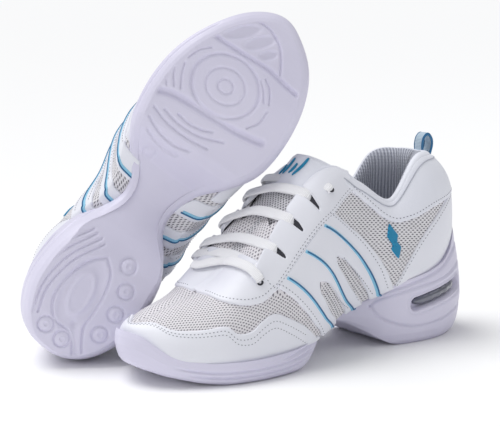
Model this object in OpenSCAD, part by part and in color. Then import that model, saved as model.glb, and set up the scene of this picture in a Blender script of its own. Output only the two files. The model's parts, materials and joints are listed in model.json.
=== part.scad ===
// Pair of split-sole cheer shoes: a chunky two-part moulded sole with a cushion window in the
// heel, a mesh and leather upper with three piped bands a side, a laced strap throat, a padded
// tongue and collar, and a webbing pull loop. The left shoe stands flat; the right shoe is its
// mirror image and leans against it with its heel on the ground and its sole turned outward.
// All shapes follow one closed chart of the upper: station 0 is the heel back, stations rise
// along the lateral side to 9 at the toe tip, and fall back along the medial side to 18 = 0.
// Height on the chart runs from 0 at the lower edge to 1 at the collar or along the ridge.

/* [Display] */
// Sub-part to draw, or all of them

/* [Sole] */
// Distance from the heel back to the middle of the flat heel ground face
heel_mid = 40; // [30:1:50]
// Height of the lowest point of the waist above the ground
waist_rise = 20; // [14:1:24]
// Height of the slot that shows the cushion in the heel
window_height = 9; // [5:0.5:12]
// Depth of the two flex grooves across the forefoot
groove_depth = 2; // [1:0.5:3]
// Radius of the turning-point ring under the ball of the foot
spin_ring_radius = 25; // [18:1:30]
// Thickness of the cushioned insole
insole_thick = 4; // [3:0.5:6]

/* [Upper] */
// Thickness of the padded lining
lining_thick = 2; // [1:0.2:3]
// Thickness of the mesh cloth
mesh_thick = 1.2; // [0.8:0.1:2]
// Thickness of the leather panels
leather_thick = 1.2; // [0.8:0.1:2]
// Diameter of the coloured piping cord along each band
piping_width = 2.2; // [1.5:0.1:3]
// Gap kept between neighbouring layers
layer_gap = 0.35; // [0.3:0.05:0.6]
// Gap between the lining and the cloth over it
lining_gap = 2; // [0.8:0.1:2.5]
// Width of the sole rim inside the lower edge of the upper
well_inset = 6; // [5:0.5:8]
// Thickness of the padded tongue top
tongue_thick = 6; // [4:0.5:8]

/* [Laces and loop] */
// Width of the lace
lace_width = 7; // [5:0.5:9]
// Thickness of the lace
lace_thick = 2.4; // [1.5:0.1:3]
// Width of the webbing of the pull loop
loop_width = 9; // [6:0.5:14]
// Outer radius of the pull loop
loop_radius = 8; // [6:0.5:11]

/* [Joints] */
// Position of the arch hinge along the shoe, from the heel back
arch_x = 107; // [100:1:112]
// Height of the arch hinge
arch_z = 20; // [18:1:24]
// Forward lean of the arch parting plane, in degrees
arch_lean = 21; // [10:1:30]
// Half opening of the arch parting, in degrees
arch_half_gap = 3; // [2.5:0.5:6]
// Position of the toe hinge along the shoe, from the heel back
toe_x = 207; // [200:1:214]
// Height of the toe hinge
toe_z = 17; // [12:1:22]
// Half opening of the toe parting above its hinge, in degrees
toe_half_gap = 13; // [6:0.5:16]
// Half width of the slit left at each hinge
hinge_slit = 0.6; // [0.3:0.1:1.5]

/* [Leaning shoe] */
// Heel back of the leaning shoe, measured from the heel back of the standing one
lean_at = [272.5, -56.7, 14.4]; // [-60:0.1:300]
// Rotations of the leaning shoe about X, Y and Z
lean_turn = [-95.9, -53.2, 157.7]; // [-180:0.1:180]

/* [Hidden] */
// Lower edge of the upper: distance from the heel, lateral and medial half width, height
feather = [
    [1, 0, 0, 71.5], [9, 21, 20, 69], [34, 33.5, 33.5, 51.8], [68, 33.5, 37, 43],
    [102, 25, 30, 28.7], [136, 36, 38, 18.6], [172, 41, 44, 15.6], [208, 36, 41, 15.6],
    [236, 20, 30, 20], [248, -6, 6, 31]
];
// Collar line and instep ridge, in the same form
topline = [
    [16, 0, 0, 119], [24, 15, 15, 120], [43, 23, 23, 118], [66, 25, 25, 94], [92, 24, 24, 108],
    [114, 17, 17, 118], [148, 0, 0, 93], [186, -3, 3, 56], [221, -5, 5, 43], [242, -6, 6, 36]
];
// Outward swell of the wall at mid height, lateral and medial
belly = [[0, 0], [0, 0], [1.5, 2], [2, 5], [6, 11], [3, 5], [0, 1], [0, 0], [0, 0], [0, 0]];
// 1 where the wall stands upright, 0 where it arches over the foot
upright = [1, 1, 1, 1, 0.85, 0.45, 0.1, 0, 0, 0];
// Plan of the moulded sole, heel back, lateral side, toe, medial side
sole_plan = [
    [-6, 0], [-3, 16], [8, 29], [28, 37.5], [52, 38], [72, 33], [88, 23], [102, 17], [115, 19],
    [129, 30], [146, 41], [168, 45.5], [192, 44.5], [214, 37.5], [236, 24], [250, 8], [254, -7],
    [249, -23], [234, -38], [212, -46], [186, -49], [162, -46.5], [144, -36], [128, -23],
    [110, -17], [97, -19.5], [84, -29], [68, -37], [46, -39], [22, -36], [5, -26], [-4, -13]
];
// Side view of the sole body: ground line from heel to toe, then the rim from toe to heel
heel_ground = [[-8, 27], [-7, 18], [-3, 10], [4, 3.5], [14, 0], [66, 0], [76, 4.5], [87, 12], [100, 19]];
heel_rim = [[106, 25], [94, 30.5], [80, 37.5], [62, 43], [43, 48], [27, 52], [17, 60], [8, 68],
    [-3, 70], [-6, 55]];
fore_ground = [[127, 17], [137, 6], [150, 0], [206, 0], [222, 3], [240, 10], [255, 19]];
fore_rim = [[256, 33], [250, 31], [243, 23], [235, 18], [214, 15], [187, 14], [155, 15], [140, 17]];
// Height of the foot bed along the shoe
bed = [[-10, 44], [20, 40], [55, 35], [85, 30], [107, 27], [125, 21], [145, 14], [170, 10.5],
    [200, 10.5], [225, 14], [245, 20], [262, 27]];

lateral = 1;
medial = -1;
stations = 9;
far = 400;
third = 1 / 3;
round_cloth = 32;

lining_out = -mesh_thick - lining_gap;
lining_in = lining_out - lining_thick;
overlay_in = layer_gap;
overlay_out = overlay_in + leather_thick;
cord_in = overlay_out + layer_gap;
strap_in = overlay_out + layer_gap;
strap_out = strap_in + leather_thick;

// Closed loops of the chart: lateral rows outward, medial rows back
function both_sides(rows) = concat(
    [for (r = rows) [r.x, r.y, r[3]]],
    [for (i = [stations - 1:-1:1]) [rows[i].x, -rows[i].z, rows[i][3]]]);
low_loop = both_sides(feather);
top_loop = both_sides(topline);
swell_loop = concat([for (b = belly) b.x], [for (i = [stations - 1:-1:1]) -belly[i].y]);
upright_loop = concat(upright, [for (i = [stations - 1:-1:1]) upright[i]]);

// Smooth curve through four neighbours
function blend4(a, b, c, d, f) =
    0.5 * (2 * b + (c - a) * f + (2 * a - 5 * b + 4 * c - d) * f * f
    + (3 * b - a - 3 * c + d) * f * f * f);
function wrap(i, n) = ((i % n) + n) % n;
function round_loop(p, u) = let (n = len(p), i = floor(u), f = u - i)
    blend4(p[wrap(i - 1, n)], p[wrap(i, n)], p[wrap(i + 1, n)], p[wrap(i + 2, n)], f);
function along(p, u) = let (n = len(p), q = u * (n - 1), i = min(floor(q), n - 2), f = q - i)
    blend4(i > 0 ? p[i - 1] : 2 * p[0] - p[1], p[i], p[i + 1],
    i < n - 2 ? p[i + 2] : 2 * p[n - 1] - p[n - 2], f);

// Point of the outer face of the cloth at a station and height
function cloth(s, t) = let (
    a = round_loop(low_loop, s), b = round_loop(top_loop, s),
    k = max(0, min(1, round_loop(upright_loop, s))), h = max(0, min(1, t)),
    w = (1 - k) * (1 - pow(cos(90 * h), 0.95)) + k * pow(h, 4),
    v = (1 - k) * pow(sin(90 * h), 0.95) + k * h,
    out = round_loop(swell_loop, s) * sin(180 * pow(h, 0.7)))
    [a.x + (b.x - a.x) * w, a.y + (b.y - a.y) * w + out, a.z + (b.z - a.z) * v];
function unit(v) = v / max(norm(v), 0.0001);
function outward(s, t) = unit(cross(
    cloth(s, min(t + 0.02, 1)) - cloth(s, max(t - 0.02, 0)), cloth(s + 0.02, t) - cloth(s - 0.02, t)));
function skin(s, t, lift) = cloth(s, t) + lift * outward(s, t);

// Closed shell between two grids of points
module shell(outer, inner, rows, cols) {
    w = cols + 1;
    n = (rows + 1) * w;
    top = [for (i = [0:rows - 1]) for (j = [0:cols - 1]) let (a = i * w + j)
        each [[a, a + 1, a + w + 1], [a, a + w + 1, a + w]]];
    bottom = [for (f = top) [f[2] + n, f[1] + n, f[0] + n]];
    ends = [for (j = [0:cols - 1]) let (a = j, b = rows * w + j)
        each [[a + n, a + n + 1, a + 1], [a + n, a + 1, a], [b, b + 1, b + n + 1], [b, b + n + 1, b + n]]];
    flanks = [for (i = [0:rows - 1]) let (a = i * w, b = i * w + cols)
        each [[a, a + w, a + w + n], [a, a + w + n, a + n], [b + n, b + w + n, b + w], [b + n, b + w, b]]];
    polyhedron(points = concat(outer, inner), faces = concat(top, bottom, ends, flanks));
}

// Panel of the upper between a lower and an upper edge, each a few chart points
module panel(low, high, inside, outside, side = lateral, rows = 12, cols = 4) {
    grid = [for (i = [0:rows]) for (j = [0:cols]) let (a = along(low, i / rows), b = along(high, i / rows))
        a + (b - a) * j / cols];
    outer = [for (g = grid) skin(side * g.x, g.y, outside)];
    inner = [for (g = grid) skin(side * g.x, g.y, inside)];
    if (side == lateral) shell(outer, inner, rows, cols);
    else shell(inner, outer, rows, cols);
}
module panels(low, high, inside, outside, rows = 12, cols = 4) {
    for (side = [lateral, medial]) panel(low, high, inside, outside, side, rows, cols);
}

// Rounded cord along chart points
module cord(path, width, lift, side, steps = 6) {
    for (i = [0:steps - 1]) hull() for (k = [i, i + 1])
        let (g = along(path, k / steps)) translate(skin(side * g.x, g.y, lift + width / 2))
            sphere(d = width, $fn = 6);
}

// Prism across the shoe from a side view
module across(outline) {
    translate([0, far / 2, 0]) rotate([90, 0, 0]) linear_extrude(far) polygon(outline);
}

// Room on each side of the two flex partings, as side views
function lean(x, z, angle, reach) = [x + reach * sin(angle), z + reach * cos(angle)];
module heel_side() {
    intersection() {
        across([[arch_x - hinge_slit, -far], [-far, -far], [-far, far],
            lean(arch_x - hinge_slit, arch_z, arch_lean - arch_half_gap, far),
            [arch_x - hinge_slit, arch_z]]);
        children();
    }
}
module fore_side() {
    intersection() {
        across([[arch_x + hinge_slit, -far], [arch_x + hinge_slit, arch_z],
            lean(arch_x + hinge_slit, arch_z, arch_lean + arch_half_gap, far),
            lean(toe_x - hinge_slit, toe_z, -toe_half_gap, far),
            [toe_x - hinge_slit, toe_z], [toe_x - hinge_slit, -far]]);
        children();
    }
}
module toe_side() {
    intersection() {
        across([[toe_x + hinge_slit, -far], [toe_x + hinge_slit, toe_z],
            lean(toe_x + hinge_slit, toe_z, toe_half_gap, far), [far, far], [far, -far]]);
        children();
    }
}

// Well of the foot bed inside the sole rim
module foot_room() {
    intersection() {
        translate([0, 0, -1]) linear_extrude(100) bed_plan(well_inset);
        across(concat(bed_line(0), [[far, far], [-far, far]]));
    }
}
function bed_line(rise) = [for (i = [0:24]) along(bed, i / 24) + [0, rise]];

module sole_block(ground, rim) {
    intersection() {
        translate([0, 0, -1]) linear_extrude(100)
            polygon([for (u = [0:third:len(sole_plan) - third]) round_loop(sole_plan, u)]);
        across(concat(ground, rim));
    }
}

// Outline of the insole, inside the lining
module bed_plan(inset) {
    polygon([for (s = [0:third:2 * stations - third])
        let (p = skin(s, 0, -inset)) [p.x, p.y]]);
}
module insole_strip() {
    intersection() {
        translate([0, 0, -1]) linear_extrude(100) bed_plan(well_inset + 0.4);
        across(concat(bed_line(layer_gap), [for (i = [24:-1:0]) bed_line(layer_gap + insole_thick)[i]]));
    }
}

module heel_sole() {
    color("GhostWhite") difference() {
        intersection() {
            sole_block(heel_ground, heel_rim);
            heel_flare();
        }
        foot_room();
        cushion_shape(0);
    }
}

// Height, radius and centre of the rounded heel back: narrow on the ground and at the rim
heel_levels = [[-1, 27, 33], [6, 33, 31], [26, 39.5, 33], [48, 38, 33.5], [73, 32, 34]];
module heel_flare() {
    hull() for (level = heel_levels) translate([level.z, 0, level.x]) {
        cylinder(h = 0.1, r = level.y, $fn = 64);
        translate([0, -level.y, 0]) cube([90, 2 * level.y, 0.1]);
    }
}

// Flat slot through the heel, rising toward the back
module cushion_shape(shrink) {
    translate([8, 0, 32]) rotate([0, 10, 0]) hull() for (x = [4.5, 44])
        translate([x, 0, 0]) rotate([90, 0, 0])
            cylinder(h = 90, d = window_height - 2 * shrink, center = true, $fn = round_cloth);
}
module air_cushion() {
    color("LightSteelBlue") intersection() {
        cushion_shape(layer_gap);
        translate([0, 0, -1]) linear_extrude(100)
            polygon([for (u = [0:third:len(sole_plan) - third])
                let (p = round_loop(sole_plan, u)) [p.x * 0.94 + 2, p.y * 0.9]]);
    }
}

module fore_sole_body() {
    difference() {
        union() {
            sole_block(fore_ground, fore_rim);
            sole_block([[107, waist_rise], [128, 16.5], [136, 14]], [[150, 14], [128, 22], [107, 28]]);
        }
        foot_room();
        // Rear flex groove, slanting across the ball
        translate([163, 0, 0]) rotate([0, 0, -11]) rotate([90, 0, 0])
            cylinder(h = 120, r = groove_depth, center = true, $fn = 24);
        // Turning ring
        translate([190, -3, -1]) difference() {
            cylinder(h = 2, r = spin_ring_radius, $fn = 72);
            translate([0, 0, -1]) cylinder(h = 4, r = spin_ring_radius - 2, $fn = 72);
        }
    }
}
module forefoot_sole() {
    color("GhostWhite") fore_side() fore_sole_body();
}
module toe_sole() {
    color("GhostWhite") toe_side() difference() {
        fore_sole_body();
        translate([216, -3, 2]) rotate([90, 0, 0])
            cylinder(h = 120, r = groove_depth, center = true, $fn = 24);
    }
}

module heel_insole() {
    color("Silver") heel_side() insole_strip();
}
module forefoot_insole() {
    color("Silver") fore_side() insole_strip();
}
module toe_insole() {
    color("Silver") toe_side() insole_strip();
}

module heel_lining() {
    color("Gainsboro") heel_side()
        panel([[-5.2, 0.02], [-2.6, 0.02], [0, 0.02], [2.6, 0.02], [5.2, 0.02]],
            [[-5, 0.95], [-2.6, 0.95], [0, 0.95], [2.6, 0.95], [5, 0.95]], lining_in, lining_out,
            lateral, 30, 4);
}
module forefoot_lining() {
    color("Gainsboro") fore_side()
        panels([[3.9, 0.02], [5.2, 0.02], [6.2, 0.02], [6.85, 0.02]],
            [[5.4, 0.78], [6.1, 0.8], [6.6, 0.8], [6.8, 0.9]],
            lining_in, lining_out, 10, 4);
}

module quarter_mesh() {
    color("WhiteSmoke") heel_side()
        panels([[2.3, 0.02], [3.5, 0.02], [4.6, 0.02]], [[1.5, 0.62], [2.9, 0.8], [4.3, 0.96]],
            -mesh_thick, 0, 12, 5);
}
module vamp_mesh() {
    color("WhiteSmoke") fore_side()
        panels([[4.4, 0.02], [6, 0.02], [7.5, 0.02]], [[5.6, 0.5], [6.3, 0.74], [7.4, 0.98]],
            -mesh_thick, 0, 12, 5);
}
module toe_mesh() {
    color("WhiteSmoke") toe_side()
        panel([[7, 0.31], [8, 0.31], [9, 0.31], [10, 0.31], [11, 0.31]],
            [[7, 0.98], [8, 0.98], [9, 0.98], [10, 0.98], [11, 0.98]], -mesh_thick, 0, lateral, 24, 4);
}

module heel_counter() {
    color("White")
        panel([[-2.95, 0.02], [-1.5, 0.02], [0, 0.02], [1.5, 0.02], [2.95, 0.02]],
            [[-2.8, 0.2], [-1.9, 0.46], [0, 0.62], [1.9, 0.46], [2.8, 0.2]], overlay_in,
            overlay_out, lateral, 20, 4);
}
module collar() {
    color("White") heel_side()
        panel([[-4.1, 0.92], [-2.8, 0.77], [-1.8, 0.57], [0, 0.66], [1.8, 0.57], [2.8, 0.77], [4.1, 0.92]],
            [[-4.5, 1], [-2.9, 1], [-1.5, 1], [0, 1], [1.5, 1], [2.9, 1], [4.5, 1]], overlay_in,
            overlay_out, lateral, 36, 3);
}
module eyestay_rear() {
    color("White") heel_side()
        panels([[5.1, 0.57], [4.7, 0.7], [4.2, 0.9]], [[5.6, 0.74], [5.25, 0.88], [4.75, 0.95]],
            overlay_in, overlay_out, 8, 3);
}
module heel_emblem() {
    color("SteelBlue") for (side = [lateral, medial]) for (k = [0, 1])
        panel([[3.0 + 0.1 * k, 0.7 - 0.17 * k], [2.88 + 0.1 * k, 0.58 - 0.17 * k]],
            [[3.2 + 0.1 * k, 0.64 - 0.17 * k], [3.08 + 0.1 * k, 0.52 - 0.17 * k]], overlay_in, 1,
            side, 3, 2);
}

// Line of each blue cord from the throat down to the sole
band_paths = [
    [[5.7, 0.35], [5.2, 0.22], [4.7, 0.05]],
    [[5.3, 0.43], [4.8, 0.32], [4.25, 0.12]],
    [[4.7, 0.54], [4.0, 0.46], [3.42, 0.06]]
];
module band(index, half) {
    path = band_paths[index];
    panels([for (p = path) p - [half, 0]], [for (p = path) p + [half, 0.02]], overlay_in, overlay_out, 10, 2);
}
module side_bands_front() {
    color("White") fore_side() {
        band(0, 0.2);
        band(1, 0.2);
    }
}
module side_band_rear() {
    color("White") heel_side() band(2, 0.22);
}
module piping_front() {
    color("SteelBlue") fore_side() for (side = [lateral, medial]) for (k = [0, 1])
        cord(band_paths[k], piping_width, cord_in, side);
}
module piping_rear() {
    color("SteelBlue") heel_side() for (side = [lateral, medial])
        cord(band_paths[2], piping_width, cord_in, side);
}

module mudguard() {
    color("White") fore_side()
        panels([[5.05, 0.02], [6, 0.02], [7.4, 0.02]], [[5.2, 0.06], [6.05, 0.2], [6.6, 0.16], [7.4, 0.32]],
            overlay_in, overlay_out, 16, 3);
}
module toe_cap() {
    color("White") toe_side()
        panel([[7, 0.02], [8, 0.02], [9, 0.02], [10, 0.02], [11, 0.02]],
            [[7, 0.3], [7.9, 0.42], [9, 0.66], [10.1, 0.42], [11, 0.3]], overlay_in, overlay_out,
            lateral, 24, 4);
}
module throat_panel() {
    color("White") fore_side()
        panels([[6.05, 0.36], [6.6, 0.42], [6.95, 0.6], [7.3, 0.97]],
            [[6.15, 0.56], [6.4, 0.7], [6.6, 0.82], [6.75, 0.97]], overlay_in, overlay_out, 12, 3);
}

// Strip beside the throat with three lace straps reaching over the tongue
tab_stations = [5.98, 5.72, 5.46];
module eyestay_front() {
    color("White") fore_side() {
        panels([[5.92, 0.37], [5.5, 0.46], [5.05, 0.59]], [[6.05, 0.48], [5.75, 0.58], [5.4, 0.68]],
            overlay_in, overlay_out, 8, 2);
        for (s = tab_stations) let (h = 0.5 + (5.98 - s) * 0.42)
            panels([[s - 0.02, h], [s + 0.08, h + 0.2]], [[s + 0.14, h - 0.03], [s + 0.22, h + 0.16]],
                strap_in, strap_out, 4, 2);
    }
}
module tongue() {
    color("WhiteSmoke") fore_side() for (side = [lateral, medial])
        panel([[5.95, 0.84], [6.3, 0.84], [6.7, 0.86]], [[6.1, 0.995], [6.4, 0.995], [6.7, 0.995]],
            lining_in + layer_gap, lining_out, side, 6, 3);
}

// Flat lace across the straps: one bar at the throat, then three crossings
module laces() {
    color("Snow") fore_side() {
        lace_run([6.5, 0.76], [6.5, 0.76]);
        for (s = tab_stations) for (side = [lateral, medial]) lace_run([s + 0.3, 0.78], [s - 0.02, 0.82], side);
    }
}
module lace_run(from, to, side = lateral) {
    lift = strap_out + 3 * layer_gap + lace_thick / 2;
    rise = side == lateral ? lace_thick + layer_gap : 0;
    a = skin(side * from.x, from.y, lift + rise);
    b = skin(-side * to.x, to.y, lift + rise);
    mid = (a + b) / 2 + [0, 0, 5];
    for (ends = [[a, mid], [mid, b]]) hull() for (p = ends) translate(p)
        scale([lace_width / lace_thick, 1, 1]) sphere(d = lace_thick, $fn = 6);
}

// Padded tongue top rising out of the throat, bowed across the foot
function tongue_point(u, v, lift) =
    let (x = 132 - 20 * u, z = 108 + 19 * u, half = 12 + 9 * u)
    [x + 0.7 * lift, v * half, z + 0.7 * lift - 3 * v * v];
module tongue_sheet(u0, u1, v1, low, high, rows) {
    grid = [for (i = [0:rows]) for (j = [0:6]) [u0 + (u1 - u0) * i / rows, v1 * (j / 3 - 1)]];
    shell([for (g = grid) tongue_point(g.x, g.y, low)], [for (g = grid) tongue_point(g.x, g.y, high)], rows, 6);
}
module tongue_flap() {
    color("White") heel_side() tongue_sheet(0, 1, 1, 0, tongue_thick, 6);
}
module tongue_mark() {
    color("SteelBlue") for (k = [0:2])
        tongue_sheet(0.45 + 0.13 * k, 0.52 + 0.13 * k, 0.6 - 0.15 * k, tongue_thick + layer_gap,
            tongue_thick + 1, 1);
}

// Webbing loop standing on the heel edge
module pull_loop() {
    color("LightSteelBlue") translate([14, loop_width / 2, 129.5]) rotate([90, 0, 0])
        difference() {
            cylinder(h = loop_width, r = loop_radius, $fn = 48);
            translate([0, 0, -1]) cylinder(h = loop_width + 2, r = loop_radius - 2, $fn = 48);
        }
}

module left() {
    translate([-heel_mid, 0, 0]) children();
}
module right() {
    translate([-heel_mid, 0, 0]) translate(lean_at) rotate(lean_turn) mirror([0, 1, 0]) children();
}

left() heel_sole();  // left_heel_sole
left() air_cushion();  // left_air_cushion
left() heel_insole();  // left_heel_insole
left() heel_lining();  // left_heel_lining
left() quarter_mesh();  // left_quarter_mesh
left() heel_counter();  // left_heel_counter
left() collar();  // left_collar
left() eyestay_rear();  // left_eyestay_rear
left() heel_emblem();  // left_heel_emblem
left() side_band_rear();  // left_side_band_rear
left() piping_rear();  // left_piping_rear
left() forefoot_sole();  // left_forefoot_sole
left() forefoot_insole();  // left_forefoot_insole
left() forefoot_lining();  // left_forefoot_lining
left() vamp_mesh();  // left_vamp_mesh
left() mudguard();  // left_mudguard
left() throat_panel();  // left_throat_panel
left() eyestay_front();  // left_eyestay_front
left() side_bands_front();  // left_side_bands_front
left() piping_front();  // left_piping_front
left() tongue();  // left_tongue
left() laces();  // left_laces
left() toe_sole();  // left_toe_sole
left() toe_insole();  // left_toe_insole
left() toe_cap();  // left_toe_cap
left() toe_mesh();  // left_toe_mesh
left() tongue_flap();  // left_tongue_flap
left() tongue_mark();  // left_tongue_mark
left() pull_loop();  // left_pull_loop
right() heel_sole();  // right_heel_sole
right() air_cushion();  // right_air_cushion
right() heel_insole();  // right_heel_insole
right() heel_lining();  // right_heel_lining
right() quarter_mesh();  // right_quarter_mesh
right() heel_counter();  // right_heel_counter
right() collar();  // right_collar
right() eyestay_rear();  // right_eyestay_rear
right() heel_emblem();  // right_heel_emblem
right() side_band_rear();  // right_side_band_rear
right() piping_rear();  // right_piping_rear
right() forefoot_sole();  // right_forefoot_sole
right() forefoot_insole();  // right_forefoot_insole
right() forefoot_lining();  // right_forefoot_lining
right() vamp_mesh();  // right_vamp_mesh
right() mudguard();  // right_mudguard
right() throat_panel();  // right_throat_panel
right() eyestay_front();  // right_eyestay_front
right() side_bands_front();  // right_side_bands_front
right() piping_front();  // right_piping_front
right() tongue();  // right_tongue
right() laces();  // right_laces
right() toe_sole();  // right_toe_sole
right() toe_insole();  // right_toe_insole
right() toe_cap();  // right_toe_cap
right() toe_mesh();  // right_toe_mesh
right() tongue_flap();  // right_tongue_flap
right() tongue_mark();  // right_tongue_mark
right() pull_loop();  // right_pull_loop
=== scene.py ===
"""Pair of split-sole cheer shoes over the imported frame. Shapes are in millimetres in one shoe's own
coordinates (X from the heel back, Y to the outer side, Z up); each piece is made for both shoes."""
import json
import math
import bpy
import numpy as np
from mathutils import Matrix, Vector


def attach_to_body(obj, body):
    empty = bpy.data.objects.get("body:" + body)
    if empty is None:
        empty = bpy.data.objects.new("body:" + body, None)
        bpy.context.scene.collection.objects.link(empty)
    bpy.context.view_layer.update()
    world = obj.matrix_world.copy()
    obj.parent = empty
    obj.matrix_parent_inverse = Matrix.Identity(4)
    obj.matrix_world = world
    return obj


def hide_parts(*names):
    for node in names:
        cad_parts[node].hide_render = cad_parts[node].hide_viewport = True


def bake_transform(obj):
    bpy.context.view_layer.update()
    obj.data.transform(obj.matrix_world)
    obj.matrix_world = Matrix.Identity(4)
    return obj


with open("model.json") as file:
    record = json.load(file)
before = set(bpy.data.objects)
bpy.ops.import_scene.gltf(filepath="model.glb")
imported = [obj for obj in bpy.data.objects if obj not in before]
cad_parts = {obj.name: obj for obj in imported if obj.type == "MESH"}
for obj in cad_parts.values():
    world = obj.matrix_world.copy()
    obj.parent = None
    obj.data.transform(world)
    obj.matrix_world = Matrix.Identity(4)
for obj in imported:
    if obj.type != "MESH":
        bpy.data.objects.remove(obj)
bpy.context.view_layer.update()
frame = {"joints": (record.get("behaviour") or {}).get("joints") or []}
MM = 0.001
JOINTS = {j["name"]: j for j in frame["joints"]}

# ---- where each shoe stands: from its arch and toe hinges -------------------------------------
ARCH = np.array([107.0, 0.0, 20.0])
TOE = np.array([207.0, 0.0, 17.0])


def unit(v):
    v = np.asarray(v, float)
    return v / (np.linalg.norm(v, axis=-1, keepdims=True) + 1e-9)


def axes(along, across, up):
    return np.stack([unit(along), unit(across), unit(up)], 1)


def placement(side):
    a = np.array(JOINTS[side + "_arch_flex"]["pos_m"], float)
    b = np.array(JOINTS[side + "_toe_flex"]["pos_m"], float)
    turn = unit(JOINTS[side + "_arch_flex"]["axis"])
    mirror = 1 if side == "left" else -1
    home = axes(TOE - ARCH, [0, 1, 0], np.cross(TOE - ARCH, [0, 1, 0]))
    there = axes(b - a, mirror * turn, np.cross(b - a, turn))
    rot = there @ home.T
    return rot, a - rot @ (ARCH * MM)


PLACE = {side: placement(side) for side in ("left", "right")}


def to_row(points, side):
    rot, offset = PLACE[side]
    return np.asarray(points, float) @ rot.T * MM + offset


# ---- chart of the upper ------------------------------------------------------------------------
FEATHER = [(1, 0, 0, 71.5), (9, 21, 20, 69), (34, 33.5, 33.5, 51.8), (68, 33.5, 37, 43),
           (102, 25, 30, 28.7), (136, 36, 38, 18.6), (172, 41, 44, 15.6), (208, 36, 41, 15.6),
           (236, 20, 30, 20), (248, -6, 6, 31)]
TOPLINE = [(16, 0, 0, 119), (24, 15, 15, 120), (43, 23, 23, 118), (66, 25, 25, 94),
           (92, 24, 24, 108), (114, 17, 17, 118), (148, 0, 0, 93), (186, -3, 3, 56),
           (221, -5, 5, 43), (242, -6, 6, 36)]
BELLY = [(0, 0), (0, 0), (1.5, 2), (2, 5), (6, 11), (3, 5), (0, 1), (0, 0), (0, 0), (0, 0)]
UPRIGHT = [1, 1, 1, 1, .85, .45, .1, 0, 0, 0]


def both(rows):
    """Closed loop from rows of x, outer y, inner y, z: out along the outer side, back the inner."""
    back = [[x, -inner, z] for x, _, inner, z in rows[8:0:-1]]
    return np.array([[x, outer, z] for x, outer, _, z in rows] + back, float)


LOW, HIGH = both(FEATHER), both(TOPLINE)
SWELL = np.array([[b[0]] for b in BELLY] + [[-b[1]] for b in BELLY[8:0:-1]], float)
STAND = np.array([[u] for u in UPRIGHT] + [[u] for u in UPRIGHT[8:0:-1]], float)


def spline(p0, p1, p2, p3, f):
    return 0.5 * (2 * p1 + (p2 - p0) * f + (2 * p0 - 5 * p1 + 4 * p2 - p3) * f * f
                  + (3 * p1 - p0 - 3 * p2 + p3) * f ** 3)


def ring(P, u):
    n = len(P)
    u = np.asarray(u, float)
    i = np.floor(u).astype(int)
    return spline(P[(i - 1) % n], P[i % n], P[(i + 1) % n], P[(i + 2) % n], (u - i)[..., None])


def curve(P, u):
    """Open smooth curve through the rows of P, u from 0 to 1."""
    P = np.asarray(P, float)
    n = len(P)
    q = np.asarray(u, float) * (n - 1)
    i = np.clip(np.floor(q).astype(int), 0, n - 2)
    before = np.concatenate([2 * P[:1] - P[1:2], P])
    after = np.concatenate([P, 2 * P[-1:] - P[-2:-1]])
    return spline(before[i], P[i], P[i + 1], after[np.minimum(i + 2, n)], (q - i)[..., None])


TUCK_IN, WAIST_TUCK, TUCK_DOWN, TUCK_AT = 9.0, 11.0, 4.5, 0.35
WAIST_X = 108
SPINE_X = (45, 215)


def cloth(s, t):
    """Point of the upper: s runs round the feather line, t from there (0) to the top line (1)."""
    F, T = ring(LOW, s), ring(HIGH, s)
    k = np.clip(ring(STAND, s)[..., 0], 0, 1)
    h = np.clip(t, 0, 1)
    w = (1 - k) * (1 - np.cos(np.pi / 2 * h) ** .95) + k * h ** 4
    v = (1 - k) * np.sin(np.pi / 2 * h) ** .95 + k * h
    x = F[..., 0] * (1 - w) + T[..., 0] * w
    y = F[..., 1] * (1 - w) + T[..., 1] * w + ring(SWELL, s)[..., 0] * np.sin(np.pi * h ** .7)
    z = F[..., 2] + (T[..., 2] - F[..., 2]) * v
    under = np.clip(-np.asarray(t, float) / TUCK_AT, 0, 1) * np.pi / 2
    mid = np.stack([np.clip(x, *SPINE_X), 0 * y], -1)
    inward = unit(mid - np.stack([x, y], -1))
    deep = TUCK_IN + WAIST_TUCK * np.exp(-((x - WAIST_X) / 24) ** 2)
    roll = deep * (1 - np.cos(under))
    down = TUCK_DOWN * (1 - 0.75 * np.exp(-((x - WAIST_X) / 32) ** 2)) * np.sin(under)
    return np.stack([x + inward[..., 0] * roll, y + inward[..., 1] * roll, z - down], -1)


def normal(s, t):
    e = 0.02
    rise = cloth(s, np.minimum(t + e, 1)) - cloth(s, np.minimum(t, 1) - e)
    return unit(np.cross(rise, cloth(s + e, t) - cloth(s - e, t)))


def skin(s, t, lift=0.0):
    """Point at a height over the upper."""
    s, t = np.broadcast_arrays(np.asarray(s, float), np.asarray(t, float))
    return cloth(s, t) + normal(s, t) * np.asarray(lift, float)[..., None]


# ---- mesh helpers ------------------------------------------------------------------------------
def quads(rows, cols, wrap=False, flip=False):
    r = np.arange(rows if wrap else rows - 1)
    c = np.arange(cols - 1)
    R, C = np.meshgrid(r, c, indexing="ij")
    N = (R + 1) % rows
    f = np.stack([R * cols + C, R * cols + C + 1, N * cols + C + 1, N * cols + C], -1).reshape(-1, 4)
    return f[:, ::-1] if flip else f


class Part:
    """Vertices, faces, UV in millimetres and material index, gathered before it becomes an object."""

    def __init__(self):
        self.v, self.f, self.uv, self.m, self.n = [], [], [], [], 0

    def add(self, verts, faces, uv=None, slot=0):
        verts = np.asarray(verts, float).reshape(-1, 3)
        self.v.append(verts)
        self.uv.append(np.zeros((len(verts), 2)) if uv is None else np.asarray(uv, float).reshape(-1, 2))
        faces = [list(int(i) + self.n for i in f) for f in faces]
        self.f += faces
        self.m += [slot] * len(faces)
        self.n += len(verts)
        return self


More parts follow.
